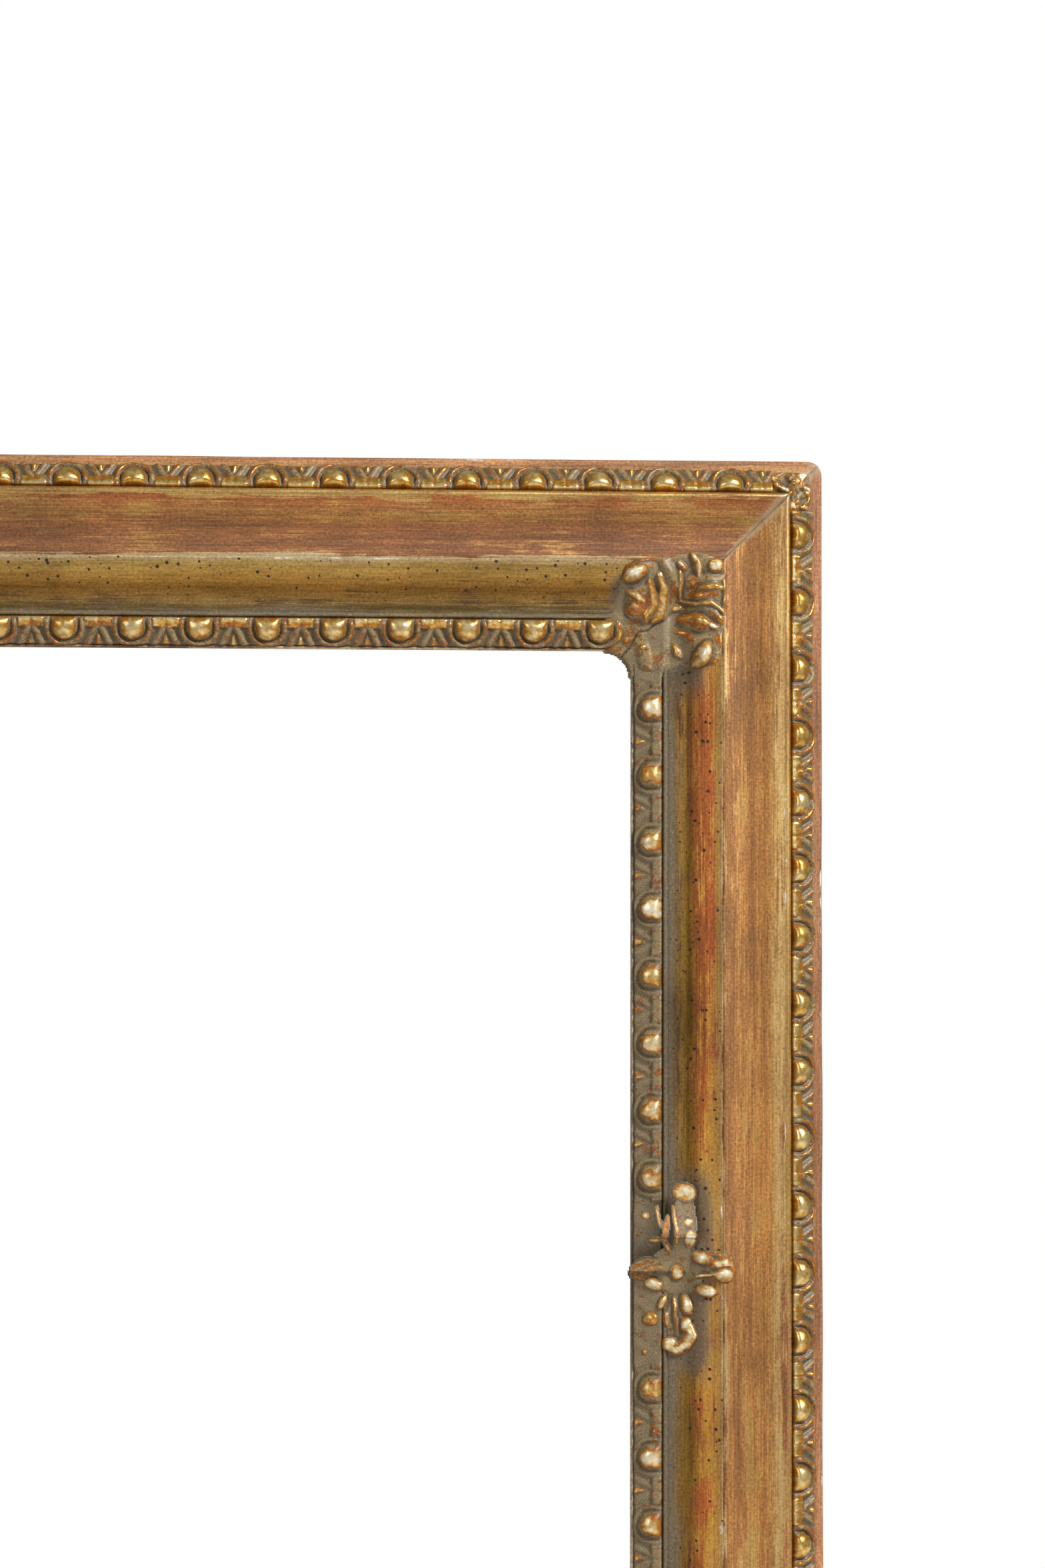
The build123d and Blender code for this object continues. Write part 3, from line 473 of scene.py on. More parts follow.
def stroke(points, x, y):
    """The distance to a bent line, and the share of the way along it."""
    best, where = 1e9, 0.0
    for k, ends in enumerate(zip(points, points[1:])):
        off, share = off_line(*ends, x, y)
        if off < best:
            best, where = off, (k + share) / (len(points) - 1)
    return best, where


def photo_corner(x, y):
    """A place on the top right corner leaf from the photo's pixels: along, inset."""
    return (RIGHT_EDGE - x) * PIXEL, (y - TOP_EDGE) * PIXEL


def photo_flower(x, y):
    """A place on the right rail's flower from the photo's pixels: along, inset."""
    return (FLOWER_MIDDLE - y) * PIXEL, (RIGHT_EDGE - x) * PIXEL


def from_photo(place_of, swells, bosses, strokes):
    """Tables with pixels turned to tables with places in millimetres."""
    spots = [[(*place_of(*spot[:2]), *spot[2:]) for spot in table] for table in (swells, bosses)]
    return *spots, [([place_of(*point) for point in line], *rest) for line, *rest in strokes]


# Broad swellings that the finer carving rides on
LEAF_SWELLS = [
    # x, y in pixels, length, width, height in mm, turn in degrees, gilt, worn
    (960, 912, 15.5, 17.5, 3.6, 0, 0.38, 0.25),
    (1047, 892, 19.0, 15.0, 2.0, 0, 0.36, 0.1),
    (1038, 941, 15.0, 8.0, 2.3, -14, 0.36, 0.3),
    (1046, 988, 15.0, 19.0, 1.3, 60, 0.12, 0.0),
    (952, 868, 17.0, 12.0, 1.5, 25, 0.1, 0.0),
    (1060, 855, 15.0, 10.0, 1.2, 0, 0.1, 0.0),
    (963, 985, 7.0, 22.0, 0.9, 10, 0.1, 0.0),
]
LEAF_BOSSES = [
    (946, 869, 11.0, 6.2, 3.9, 25, 1.0, 0.9),
    (1047, 991, 13.4, 6.6, 4.4, 64, 1.0, 0.9),
    (1066, 857, 6.6, 6.2, 2.6, 0, 0.9, 1.0),
    (1016, 857, 5.2, 2.9, 1.9, -38, 0.9, 0.9),
    (1011, 918, 4.4, 2.6, 1.4, 12, 0.95, 0.3),
    (960, 976, 3.0, 2.6, 1.0, 0, 0.75, 0.2),
    (961, 1019, 2.4, 4.4, 0.9, 10, 0.6, 0.5),
    (970, 1006, 4.2, 1.8, 0.6, -25, 0.45, 0.4),
    (937, 966, 2.6, 2.4, 0.9, 0, 0.6, 0.2),
    (944, 922, 5.6, 6.4, 1.1, 40, 0.5, 0.4),
    (1063, 947, 4.6, 2.5, 1.5, -30, 0.9, 1.0),
    (1031, 879, 5.4, 4.6, 1.0, 0, 0.55, 0.4),
    (1042, 900, 4.4, 3.0, 0.7, 0, 0.8, 0.2),
    (1070, 969, 4.0, 7.0, 0.7, 0, 0.55, 0.1),
]
LEAF_STROKES = [
    # pixels along the line, half width, height in mm, gilt, worn
    ([(983, 870), (991, 888), (993, 906), (988, 926), (976, 938)], 2.1, 2.5, 0.95, 0.3),
    ([(969, 878), (973, 892), (977, 914), (966, 930), (964, 941)], 1.7, 1.9, 0.85, 0.4),
    ([(936, 893), (948, 902), (960, 908)], 1.2, 1.2, 0.8, 0.8),
    ([(986, 849), (998, 866), (1006, 889), (999, 912), (990, 930)], 2.7, 2.0, 0.14, 0.0),
    ([(1030, 836), (1036, 848), (1041, 860), (1042, 872)], 1.4, 2.6, 0.9, 0.5),
    ([(1013, 864), (1015, 885), (1017, 906)], 0.9, 1.9, 0.95, 0.5),
    ([(1017, 907), (1038, 913), (1058, 912), (1071, 919), (1081, 930)], 1.0, 2.2, 0.95, 0.5),
    ([(1078, 877), (1081, 900), (1081, 926)], 0.7, 1.7, 0.85, 0.4),
    ([(1042, 890), (1062, 887), (1078, 891)], 1.3, 1.6, 0.85, 0.3),
    ([(1034, 880), (1056, 875), (1076, 877)], 1.7, 1.5, 0.1, 0.0),
    ([(1021, 922), (1045, 919), (1065, 927), (1076, 940)], 1.7, 1.6, 0.06, 0.0),
    ([(1014, 935), (1037, 931), (1056, 941)], 1.9, 1.5, 0.7, 0.3),
    ([(1010, 953), (1025, 957), (1036, 968)], 1.6, 1.1, 0.6, 0.4),
    ([(1007, 972), (1012, 984), (1018, 991)], 1.2, 1.6, 0.9, 0.6),
    ([(925, 941), (927, 955), (925, 966)], 1.2, 1.5, 0.85, 0.1),
    ([(990, 849), (965, 846), (944, 852), (929, 868), (927, 884)], 1.1, 0.9, 0.3, 0.0),
]
# Where the leaf has cracked through at the mitre
LEAF_CRACK = [(931, 990), (944, 973), (953, 955), (958, 952), (969, 951), (977, 944),
              (993, 936)]
FLOWER_SWELLS = [
    (1020, 1850, 32.0, 9.0, 1.3, -4, 0.14, 0.0),
    (1012, 1910, 22.0, 24.0, 1.2, 0, 0.1, 0.0),
    (1072, 1900, 13.5, 15.0, 2.4, 0, 0.3, 0.5),
    (966, 1906, 10.5, 12.0, 1.8, 0, 0.3, 0.3),
    (1012, 1985, 24.0, 10.0, 1.4, 0, 0.14, 0.0),
]
FLOWER_BOSSES = [
    (1020, 1790, 7.4, 9.6, 3.9, -14, 1.0, 1.0),
    (1025, 1834, 3.0, 4.2, 1.9, 12, 0.9, 0.9),
    (1028, 1858, 7.4, 5.2, 2.7, 6, 1.0, 0.9),
    (976, 1860, 2.4, 5.6, 1.4, 0, 0.75, 0.3),
    (1011, 1910, 7.0, 5.2, 2.4, 6, 0.85, 0.7),
    (977, 1928, 5.2, 7.8, 2.4, -26, 0.95, 0.8),
    (1047, 1887, 5.4, 8.4, 2.2, -12, 0.95, 0.9),
    (1072, 1894, 4.4, 9.6, 1.9, 8, 0.95, 0.9),
    (1078, 1912, 6.4, 8.4, 2.3, 0, 1.0, 1.0),
    (1053, 1936, 5.4, 8.8, 2.9, -6, 0.95, 0.9),
    (990, 1955, 7.0, 3.6, 1.9, -26, 0.85, 0.6),
    (1025, 1958, 9.0, 5.0, 2.5, 14, 1.0, 0.8),
    (973, 1980, 6.4, 6.4, 2.0, 30, 0.75, 0.4),
    (962, 1824, 2.8, 2.6, 1.2, 0, 0.8, 0.5),
    (964, 2029, 2.8, 2.4, 1.2, 0, 0.7, 0.5),
    (981, 2030, 3.0, 1.0, 0.5, 10, 1.3, 1.0),
    (1001, 2016, 6.0, 6.4, 3.0, 20, 1.0, 1.0),
    (1024, 1986, 6.0, 4.6, 2.6, -20, 1.0, 1.0),
]
FLOWER_STROKES = [
    ([(1004, 1811), (1007, 1838), (1011, 1872)], 0.8, 1.6, 0.8, 0.7),
    ([(1012, 1802), (1014, 1835), (1018, 1874)], 1.6, 1.3, 0.06, 0.0),
    ([(995, 1827), (991, 1848), (990, 1860), (998, 1876)], 1.1, 1.8, 0.65, 0.4),
    ([(989, 1901), (977, 1902), (966, 1907), (948, 1910)], 0.7, 1.3, 0.8, 0.6),
    ([(984, 1893), (962, 1896), (948, 1904), (949, 1917), (962, 1922)], 1.3, 1.3, 0.35, 0.2),
    ([(1038, 1915), (1056, 1912), (1066, 1908)], 0.8, 1.4, 0.95, 0.9),
    ([(1048, 1879), (1070, 1880), (1088, 1892), (1092, 1904), (1088, 1918), (1064, 1918)],
     0.9, 1.2, 0.5, 0.6),
    ([(1007, 1948), (1009, 1975), (1013, 2003)], 0.75, 1.5, 0.75, 0.6),
    ([(996, 1970), (997, 1990)], 0.9, 1.3, 0.6, 0.6),
    ([(1021, 1981), (1028, 1991), (1030, 2002), (1023, 2016), (1009, 2025), (999, 2020),
      (996, 2012)], 2.2, 3.2, 1.0, 1.0),
    ([(979, 1812), (981, 1828), (985, 1841)], 0.6, 0.7, 0.6, 0.6),
]
LEAF_OUTLINE = [
    # In millimetres from the outer edges of the two rails, round to the sight corner's web
    (80.8, 45.6), (78.5, 41.9), (73.2, 39.3), (66.7, 38.5), (61.4, 38.3), (56.2, 37.2),
    (51.2, 36.2), (44.4, 37.2), (39.4, 39.8), (38.1, 46.9), (38.4, 54.8), (38.6, 61.3),
    (39.4, 69.2), (39.7, 75.7), (41.5, 81.5), (46.0, 83.0), (56.0, 83.0), (60.5, 83.5),
    (62.0, 84.5), (73.3, 84.5), (74.4, 85.2),
    *((85.3 + 10.5 * cos(radians(180 + 15 * k)), 85.3 + 10.5 * sin(radians(180 + 15 * k)))
      for k in range(7)),
    (85.2, 74.4), (84.5, 73.3), (84.5, 62.0), (83.0, 58.0), (81.6, 50.0),
]


def ground_height(inset):
    """The smooth ground that the leaves and flowers rise from."""
    if inset > BEAD:
        return 7.5 - (inset - BEAD) * (BEAD_FOOT - SIGHT_FOOT) / (INNER_BED - BEAD)
    return sum(front_height(min(inset + 0.5 * k, BEAD)) for k in range(-2, 3)) / 5


def outline_distance(outline, x, y):
    """How far a place lies inside an outline; negative outside it."""
    inside, best = False, 1e9
    previous = outline[-1]
    for point in outline:
        (ax, ay), (bx, by) = previous, point
        if (ay > y) != (by > y) and x < (bx - ax) * (y - ay) / (by - ay) + ax:
            inside = not inside
        best = min(best, off_line(previous, point, x, y)[0])
        previous = point
    return best if inside else -best


def raised_relief(x, y, swells, bosses, strokes):
    """Height of the carving over its ground, and how gilded and worn it is there."""
    height, gilt, worn = 0.0, 0.05, 0.0
    for spot in swells:
        left = boss(spot, x, y)
        if left > 0:
            share = left * left * (3 - 2 * left)
            gilt = max(gilt, spot[6] * share)
            worn = max(worn, spot[7] * share)
            own = spot[4] * share
            height = blend_max(height, own, min(1.2, 3 * min(height, own) + 0.001))
    detail = 0.0
    for points, half, tall, shine, rub in strokes:
        off, where = stroke(points, x, y)
        taper = 0.45 + 0.55 * sin(pi * where) ** 0.6
        reach = half * (1.45 + 0.5 * ripple(x, y, tall, 5)) * taper
        if off < reach:
            left = 1 - (off / reach) ** 2
            own = tall * left ** 1.2 * (0.45 + 0.55 * sin(pi * where) ** 0.5)
            # The gilding grows paler towards each stroke's crest: rubbed gilding with a painted
            # highlight
            if own > detail - 0.15:
                share = ease(0.2, 0.7, left)
                gilt += (shine * (0.28 + 0.5 * left ** 3) - gilt) * share
                worn += (rub - worn) * share
            detail = blend_max(detail, own, 0.3)
    for spot in bosses:
        left = boss(spot, x, y)
        if left > 0:
            own = spot[4] * left ** 0.62
            # The gilding grows paler towards each boss's top, a painted highlight over rubbed
            # gilding, and goes to a darker rust at its foot, bole partly deepened with painted
            # shade
            if own > detail - 0.25:
                share = ease(0.02, 0.2, left)
                gilt += (spot[6] * (0.26 + 0.64 * left ** 1.1) - gilt) * share
                worn += (spot[7] - worn) * share
            detail = blend_max(detail, own, 0.35)
    return height + detail, gilt, worn


def under_of(x, y):
    """The height of a patch's underside, a little sunk into the moulding."""
    inset = min(x, y) if y > 0 else y
    return max(0.05, front_height(min(inset, 74.4)) - 0.9) if inset < SIGHT else 0.05


def relief_patch(names, matrix, corners, cell, seed, inside_of, carve, base_of, fade_of):
    """A carved patch: a grid cut to its outline and raised, closed by its own underside."""
    (left, low), (right, high) = corners
    columns, rows = round((right - left) / cell), round((high - low) / cell)
    right, high = left + columns * cell, low + rows * cell
    bm = bmesh.new()
    bmesh.ops.create_grid(bm, x_segments=columns, y_segments=rows, size=1.0)
    place_at = bm.verts.layers.float_vector.new("rail_place")
    worn_at = bm.verts.layers.float_vector.new("gilt_dirt_shade_worn")
    for vert in bm.verts:
        x = left + (vert.co.x + 1) / 2 * (right - left)
        y = low + (vert.co.y + 1) / 2 * (high - low)
        vert.co = (x, y, inside_of(x, y))
    outside = [face for face in bm.faces if max(v.co.z for v in face.verts) < -0.1]
    bmesh.ops.delete(bm, geom=outside, context="FACES")
    heights, looks = {}, {}
    spot_of = {vert: (round((vert.co.x - left) / cell), round((vert.co.y - low) / cell))
               for vert in bm.verts}
    for vert, at in spot_of.items():
        x, y, inside = vert.co
        bent_x = x + 0.35 * ripple(x, y, seed + 1, 3.6)
        bent_y = y + 0.35 * ripple(x, y, seed + 2, 3.6)
        lift, *looks[at] = carve(bent_x, bent_y)
        rim = ease(-0.1, fade_of(x, y), inside)
        heights[at] = lift * rim - 0.6 * (1 - rim) + 0.07 * ripple(x, y, seed + 3, 1.3)
        vert[place_at] = (x * METRE, y * METRE, seed)
    found = hollows(heights, cell)
    for vert, at in spot_of.items():
        gilt, dirt_and_shade, worn = looks[at]
        vert[worn_at] = (*rubbed(gilt, dirt_and_shade, found[at]), worn)
        vert.co.z = under_of(vert.co.x, vert.co.y)
    made = bmesh.ops.extrude_face_region(bm, geom=list(bm.faces), use_keep_orig=True)["geom"]
    for vert in of_kind(made, bmesh.types.BMVert):
        x, y, under = vert.co
        at = (round((x - left) / cell), round((y - low) / cell))
        vert.co.z = max(base_of(x, y) + heights[at], under + 0.05)
    bm.transform(matrix)
    finish_piece(names[0], bm, "frame", GILT_COMPOSITION, names[1])


def corner_leaf(side):
    """The leaf over the mitre inside the frieze, cracked where the rails have moved."""
    swells, bosses, strokes = from_photo(photo_corner, LEAF_SWELLS, LEAF_BOSSES, LEAF_STROKES)
    crack = [photo_corner(*point) for point in LEAF_CRACK]

    def carve(x, y):
        carved, gilt, worn = raised_relief(x, y, swells, bosses, strokes)
        lift = 0.5 + 0.42 * ripple(x, y, 4, 5.5) + 0.16 * ripple(x, y, 6, 2.2) + carved
        gilt = max(gilt, 0.24 * ease(0.0, 0.35, ripple(x, y, 9, 7)))
        open_at = stroke(crack, x, y)[0] + 0.2 * ripple(x, y, 2, 1.5)
        lift -= 0.9 * ease(0.6, 0.1, open_at)
        return lift, gilt * ease(0.2, 0.6, open_at), ease(0.5, 0.2, open_at), worn

    def fade_of(x, y):
        inset = min(x, y)
        over_ogee = ease(42, 46, inset) * ease(66, 61, inset)
        over_run = ease(73.6, 72.6, inset) * ease(79, 80.5, max(x, y))
        return 0.9 + 2.6 * max(over_ogee, over_run)

    relief_patch(("inner_corner_relief_" + CORNERS[side], "inner_corner_leaf_" + CORNERS[side]),
                 to_front(side, -1), ((34, 34), (86.4, 86.4)), PATCH_CELL, NUMBER[side] * 1.7,
                 lambda x, y: outline_distance(LEAF_OUTLINE, x, y), carve,
                 lambda x, y: ground_height(min(x, y)), fade_of)


def centre_flower(side):
    """The flower in the middle of a rail, over the ogee and the inner run."""
    swells, bosses, strokes = from_photo(photo_flower, FLOWER_SWELLS, FLOWER_BOSSES,
                                         FLOWER_STROKES)

    def carve(x, y):
        carved, gilt, worn = raised_relief(x, y, swells, bosses, strokes)
        return carved - 0.3 * ease(0.5, 0.0, carved), gilt, 0.0, worn

    relief_patch(("centre_flower_relief_" + side, "centre_flower_" + side), to_front(side),
                 ((-36, 33), (37, 77)), PATCH_CELL, NUMBER[side] * 2.3 + 11,
                 lambda x, y: raised_relief(x, y, swells, bosses, strokes)[0] - 0.12, carve,
                 lambda x, y: ground_height(min(y, 74)), lambda x, y: 0.3)


def outer_leaf(side):
    """The outer corner's leaf, knocked and worn to lumps, with white gesso in its losses."""
    outline = [(4.6, 6.5), (6.5, 4.6), (12, 4.4), (21.0, 4.6), (21.0, 12.8), (15.0, 13.4),
               (13.4, 15.0), (12.8, 21.0), (4.6, 21.0), (4.4, 12)]
    seed = NUMBER[side] * 3.1 + 5

    def carve(x, y):
        lumps = ripple(x, y, seed, 3.2) + 0.55 * ripple(x, y, seed + 9, 1.5)
        worn = ease(0.05, 0.35, ripple(x, y, seed + 4, 4.5))
        gilt = 0.15 + 0.7 * ease(0.1, 0.7, lumps) + 0.3 * worn * ease(-0.2, 0.2, lumps)
        # Bare white gesso where it is broken, most of it along the upright
        broken = ease(0.14, 0.4, ripple(x * 0.6, y, seed + 20, 4.0) + (0.1 if y < x else -0.1))
        return max(0.1, 1.3 + 2.4 * lumps), gilt + 0.75 * broken, 0.0, max(worn, broken)

    def base_of(x, y):
        return BAND_TOP + 0.3 + (min(x, y, OUTER_BED) - BAND) * (BED_TOP - BAND_TOP) / (
            OUTER_BED - BAND)

    relief_patch(("outer_corner_relief_" + CORNERS[side], "outer_corner_leaf_" + CORNERS[side]),
                 to_front(side, -1), ((3.6, 3.6), (22.0, 22.0)), OUTER_PATCH_CELL, seed,
                 lambda x, y: outline_distance(outline, x, y), carve, base_of,
                 lambda x, y: 0.9 + 1.6 * ease(15, 18, max(x, y)))


# Hardware of the back: where it stands, as in the CAD

HANGERS = {"left": -339.0, "right": 339.0}
RING_Y, RING_Z, HANGER_SCREWS = 12.98, 432.0, (400.4, 424.4)
BUTTONS = {"top": (0, 577.5), "bottom": (0, 57.5), "left": (-315, 317.5), "right": (315, 317.5)}
BACK_FACE = BACK / 2


def bevel_edges(bm, edges, offset, segments):
    bmesh.ops.bevel(bm, geom=edges, offset=offset, offset_type="OFFSET", affect="EDGES",
                    segments=segments, profile=0.5, material=-1)


def sharp_edges(bm):
    return [edge for edge in bm.edges if len(edge.link_faces) == 2
            and edge.calc_face_angle(0) > 0.6]


def saw(bm, point, normal, off=False):
    """Cuts through all of a mesh, and where asked takes away what lies beyond the cut."""
    geom = [*bm.verts, *bm.edges, *bm.faces]
    bmesh.ops.bisect_plane(bm, geom=geom, plane_co=point, plane_no=normal, clear_outer=off)
    if off:
        close_holes(bm)


def plate(bm, low, high):
    """A flat blank between two corners."""
    size = [b - a for a, b in zip(low, high)]
    middle = [(a + b) / 2 for a, b in zip(low, high)]
    made = bmesh.ops.create_cube(bm, size=1.0)["verts"]
    bmesh.ops.scale(bm, verts=made, vec=size)
    bmesh.ops.translate(bm, verts=made, vec=middle)


def hanger_ring(side):
    """Brass wire bent to a D and closed inside its barrel."""
    wire, half, bend, low = 1.4, 12.5, 3.2, 409.6
    heading, spot = Vector((1, 0, 0)), Vector((HANGERS[side] - half + bend, RING_Y, RING_Z))
    bm = bmesh.new()
    bmesh.ops.create_circle(bm, segments=14, radius=wire,
                            matrix=Matrix.Translation(spot) @ Matrix.Rotation(pi / 2, 4, "Y"))
    edges = list(bm.edges)
    for run in (2 * (half - bend), RING_Z - low - 2 * bend) * 2:
        made = bmesh.ops.extrude_edge_only(bm, edges=edges)["geom"]
        verts = of_kind(made, bmesh.types.BMVert)
        bmesh.ops.translate(bm, verts=verts, vec=heading * run)
        edges = [edge for edge in of_kind(made, bmesh.types.BMEdge)
                 if all(vert in verts for vert in edge.verts)]
        spot = spot + heading * run
        inward = Vector((heading.z, 0, -heading.x))
        made = bmesh.ops.spin(bm, geom=edges, cent=spot + inward * bend, axis=(0, 1, 0),
                              angle=pi / 2, steps=8)["geom_last"]
        edges = of_kind(made, bmesh.types.BMEdge)
        spot = spot + inward * bend + heading * bend
        heading = inward
    bmesh.ops.remove_doubles(bm, verts=bm.verts, dist=0.01)
    bm.transform(Matrix.Scale(METRE, 4))
    finish_piece("ring_wire_" + side, bm, "ring_" + side, BRASS, "hanger_ring_" + side)


def hanger_plate(side):
    """A brass strap with a pointed foot, rolled to a barrel round the ring's bar."""
    x, half, thick = HANGERS[side], 7, 1.2
    bm = bmesh.new()
    plate(bm, (x - half, BACK_FACE, 392.0), (x + half, BACK_FACE + thick, RING_Z - 1))
    for way in (-1, 1):
        saw(bm, (x + half * way, BACK_FACE, 399.0), (half * way, 0, -3), off=True)
    bevel_edges(bm, sharp_edges(bm), 0.25, 2)
    barrel = Matrix.Translation((x - half, RING_Y, RING_Z)) @ Matrix.Rotation(pi / 2, 4, "Y")
    rims = []
    for radius in (2.72, 1.66):
        made = bmesh.ops.create_circle(bm, segments=36, radius=radius, matrix=barrel)["verts"]
        rims += [edge for edge in bm.edges if all(vert in made for vert in edge.verts)]
    face = bmesh.ops.bridge_loops(bm, edges=rims)["faces"]
    made = bmesh.ops.extrude_face_region(bm, geom=face, use_keep_orig=True)["geom"]
    bmesh.ops.translate(bm, verts=of_kind(made, bmesh.types.BMVert), vec=(2 * half, 0, 0))
    bm.transform(Matrix.Scale(METRE, 4))
    finish_piece("hanger_strap_" + side, bm, "frame", BRASS, "hanger_plate_" + side,
                 smooth=False)


def slotted_screws(name, places, seat, tip, node):
    """Round-headed wood screws with sawn slots that stand at odd angles.

    Seat is where their heads rest, and tip where their shanks end, on Y."""
    whole = bmesh.new()
    for number, (x, z) in enumerate(places):
        bm = bmesh.new()
        profile = [(0, 1.5), (0.9, 1.44), (1.7, 1.22), (2.4, 0.82), (2.85, 0.36), (2.95, 0.0),
                   (1.55, 0.0), (1.55, tip - seat + 1.5), (0, tip - seat)]
        verts = [bm.verts.new((radius, 0, rise)) for radius, rise in profile]
        edges = [bm.edges.new(pair) for pair in zip(verts, verts[1:])]
        bmesh.ops.spin(bm, geom=verts + edges, cent=(0, 0, 0), axis=(0, 0, 1), angle=2 * pi,
                       steps=28, use_merge=True)
        bmesh.ops.remove_doubles(bm, verts=bm.verts, dist=0.001)
        # The slot, 0.8 mm wide with steep walls, sunk to 0.62 mm over the head's foot
        for place in (-0.46, -0.4, 0.4, 0.46):
            saw(bm, (place, 0, 0), (1, 0, 0))
        for vert in bm.verts:
            if abs(vert.co.x) < 0.41 and vert.co.z > 0.3:
                vert.co.z = 0.62
        turn = Matrix.Rotation(pi * noise.cell(Vector((number * 2.7, seat, 1))), 4, "Z")
        stand = Matrix.Translation((x, seat, z)) @ Matrix.Rotation(-pi / 2, 4, "X")
        bm.transform(stand @ turn)
        mesh = bpy.data.meshes.new("screw")
        bm.to_mesh(mesh)
        bm.free()
        whole.from_mesh(mesh)
        bpy.data.meshes.remove(mesh)
    whole.transform(Matrix.Scale(METRE, 4))
    finish_piece(name, whole, "frame", STEEL, node, smooth=False)


def turn_button(side):
    """A stamped brass button with a raised hub, eased on all its edges."""
    x, z = BUTTONS[side]
    bm = bmesh.new()
    plate(bm, (-17, -5, 0), (17, 5, 1.4))
    for p in (-1, 1):
        for q in (-1, 1):
            saw(bm, (6 * p, 5 * q, 0), (2.5 * p, 11 * q, 0), off=True)
    upright = [edge for edge in bm.edges if edge.calc_face_angle(0) > 0.1
               and abs(edge.verts[0].co.z - edge.verts[1].co.z) > 1]
    bevel_edges(bm, upright, 1.6, 4)
    bevel_edges(bm, sharp_edges(bm), 0.3, 2)
    bmesh.ops.create_cone(bm, cap_ends=True, segments=32, radius1=4.2, radius2=3.9,
                          depth=0.62, matrix=Matrix.Translation((0, 0, 1.69)))
    # It lies 0.3 mm off the back, lengthways along its rail
    stand = Matrix.Translation((x, BACK_FACE + 0.3, z)) @ Matrix.Rotation(-pi / 2, 4, "X")
    if side not in LYING:
        stand = stand @ Matrix.Rotation(pi / 2, 4, "Z")
    bm.transform(Matrix.Scale(METRE, 4) @ stand)
    finish_piece("button_plate_" + side, bm, "button_" + side, BRASS,
                 "turn_button_" + side, smooth=False)


# Finishes: by the place across the rail in millimetres, on a top or bottom rail and on an
# upright, which has worn redder

BOLE_TOP = [(0, "A07048"), (4, "B27E4C"), (4.3, "C0A270"), (5, "8A6238"), (13, "94703C"),
            (15.5, "A05C28"), (17.5, "A05A28"), (22, "8E5E2E"), (25, "7E4E24"), (30, "7C4C28"),
            (38, "7A4C2A"), (40.2, "8C5A2A"), (50, "6E4618"), (60, "5A4524"), (62, "6A5636"),
            (73, "7A5430"), (74, "A87E56")]
BOLE_UPRIGHT = [(0, "9C6844"), (4, "B07850"), (4.4, "A89070"), (5, "8A6238"), (13, "A07A4C"),
                (16, "A86A3C"), (19, "BE9050"), (23, "A46E34"), (31, "92622E"), (38, "98652E"),
                (40.2, "7A4A24"), (42, "8E5420"), (43.5, "B45A20"), (49, "B2601E"),
                (51, "A05E26"), (52.5, "7A4C1E"), (58, "5E4424"), (61, "6A5C46"),
                (73, "6A5640"), (74, "A89880")]
LEAF_TOP = [(0, "B8905A"), (13, "A87C38"), (15, "CDA866"), (17, "B88E50"), (24, "B08448"),
            (38, "A47E48"), (40, "E2C89C"), (42, "C6A25C"), (47, "A27C3C"), (51, "94692C"),
            (55, "8A6834"), (57, "9A7C4A"), (59, "6A5220"), (61, "9A8450"), (74, "DABB92")]
LEAF_UPRIGHT = [(0, "A87850"), (13, "A87C30"), (16, "CBA468"), (19, "D0AC70"), (22, "BC8E4A"),
                (38, "BE9258"), (39.4, "D0AC74"), (40.6, "A87C48"), (42, "B8843E"),
                (46, "D09640"), (50, "BC8638"), (53, "94702C"), (56, "8C6630"),
                (60, "7A6A48"), (74, "C8B49A")]
# How much leaf is left, from 0 for none to 1 for all
LEFT_TOP = [(0, 0.36), (12, 0.55), (14.2, 0.62), (15.8, 0.6), (17, 0.5), (21, 0.44),
            (24, 0.54), (27, 0.42), (38.5, 0.42), (40, 0.8), (48, 0.72), (54, 0.66),
            (60, 0.6), (74, 0.55)]
LEFT_UPRIGHT = [(0, 0.32), (12, 0.55), (15.5, 0.6), (18, 0.64), (20, 0.54), (22, 0.45),
                (38, 0.43), (40.5, 0.62), (43, 0.54), (46, 0.5), (51, 0.52), (54, 0.68),
                (60, 0.5), (74, 0.4)]
# How thick the dirt lies, how thick the fly specks, and how readily an edge chips
DIRT_TOP = [(0, 0.00), (4.6, 0.19), (12.8, 0.19), (14, 0.03), (17, 0.00),
            (40, 0.00), (56, 0.06), (58.5, 0.19), (60, 0.60), (62, 0.69),
            (73, 0.4), (73.8, 0.0)]
DIRT_UPRIGHT = [(0, 0.00), (4.6, 0.31), (12.8, 0.25), (15, 0.06),
                (17, 0.00), (39, 0.00), (52, 0.04), (56, 0.2),
                (58.5, 0.72), (62, 0.94), (73, 0.75), (73.8, 0.1)]
SPECKS_TOP = [(0, 0.0), (16, 0.1), (39, 0.15), (41, 0.75), (47, 0.7), (53, 0.4), (60, 0.1)]
SPECKS_UPRIGHT = [(0, 0.1), (16, 0.15), (39, 0.2), (41, 0.6), (54, 0.6), (60, 0.3)]
EDGES_TOP = [(0, 0.4), (0.3, 0.56), (0.8, 0.47), (1.5, 0.13), (4.0, 0.13), (4.3, 0.47),
             (4.7, 0.13), (13.8, 0.25), (15.5, 0.38), (17, 0.13),
             (38.9, 0.13), (39.6, 0.50), (40.5, 0.54), (41.4, 0.19),
             (60, 0.06), (73.6, 0.19), (74.2, 0.38)]
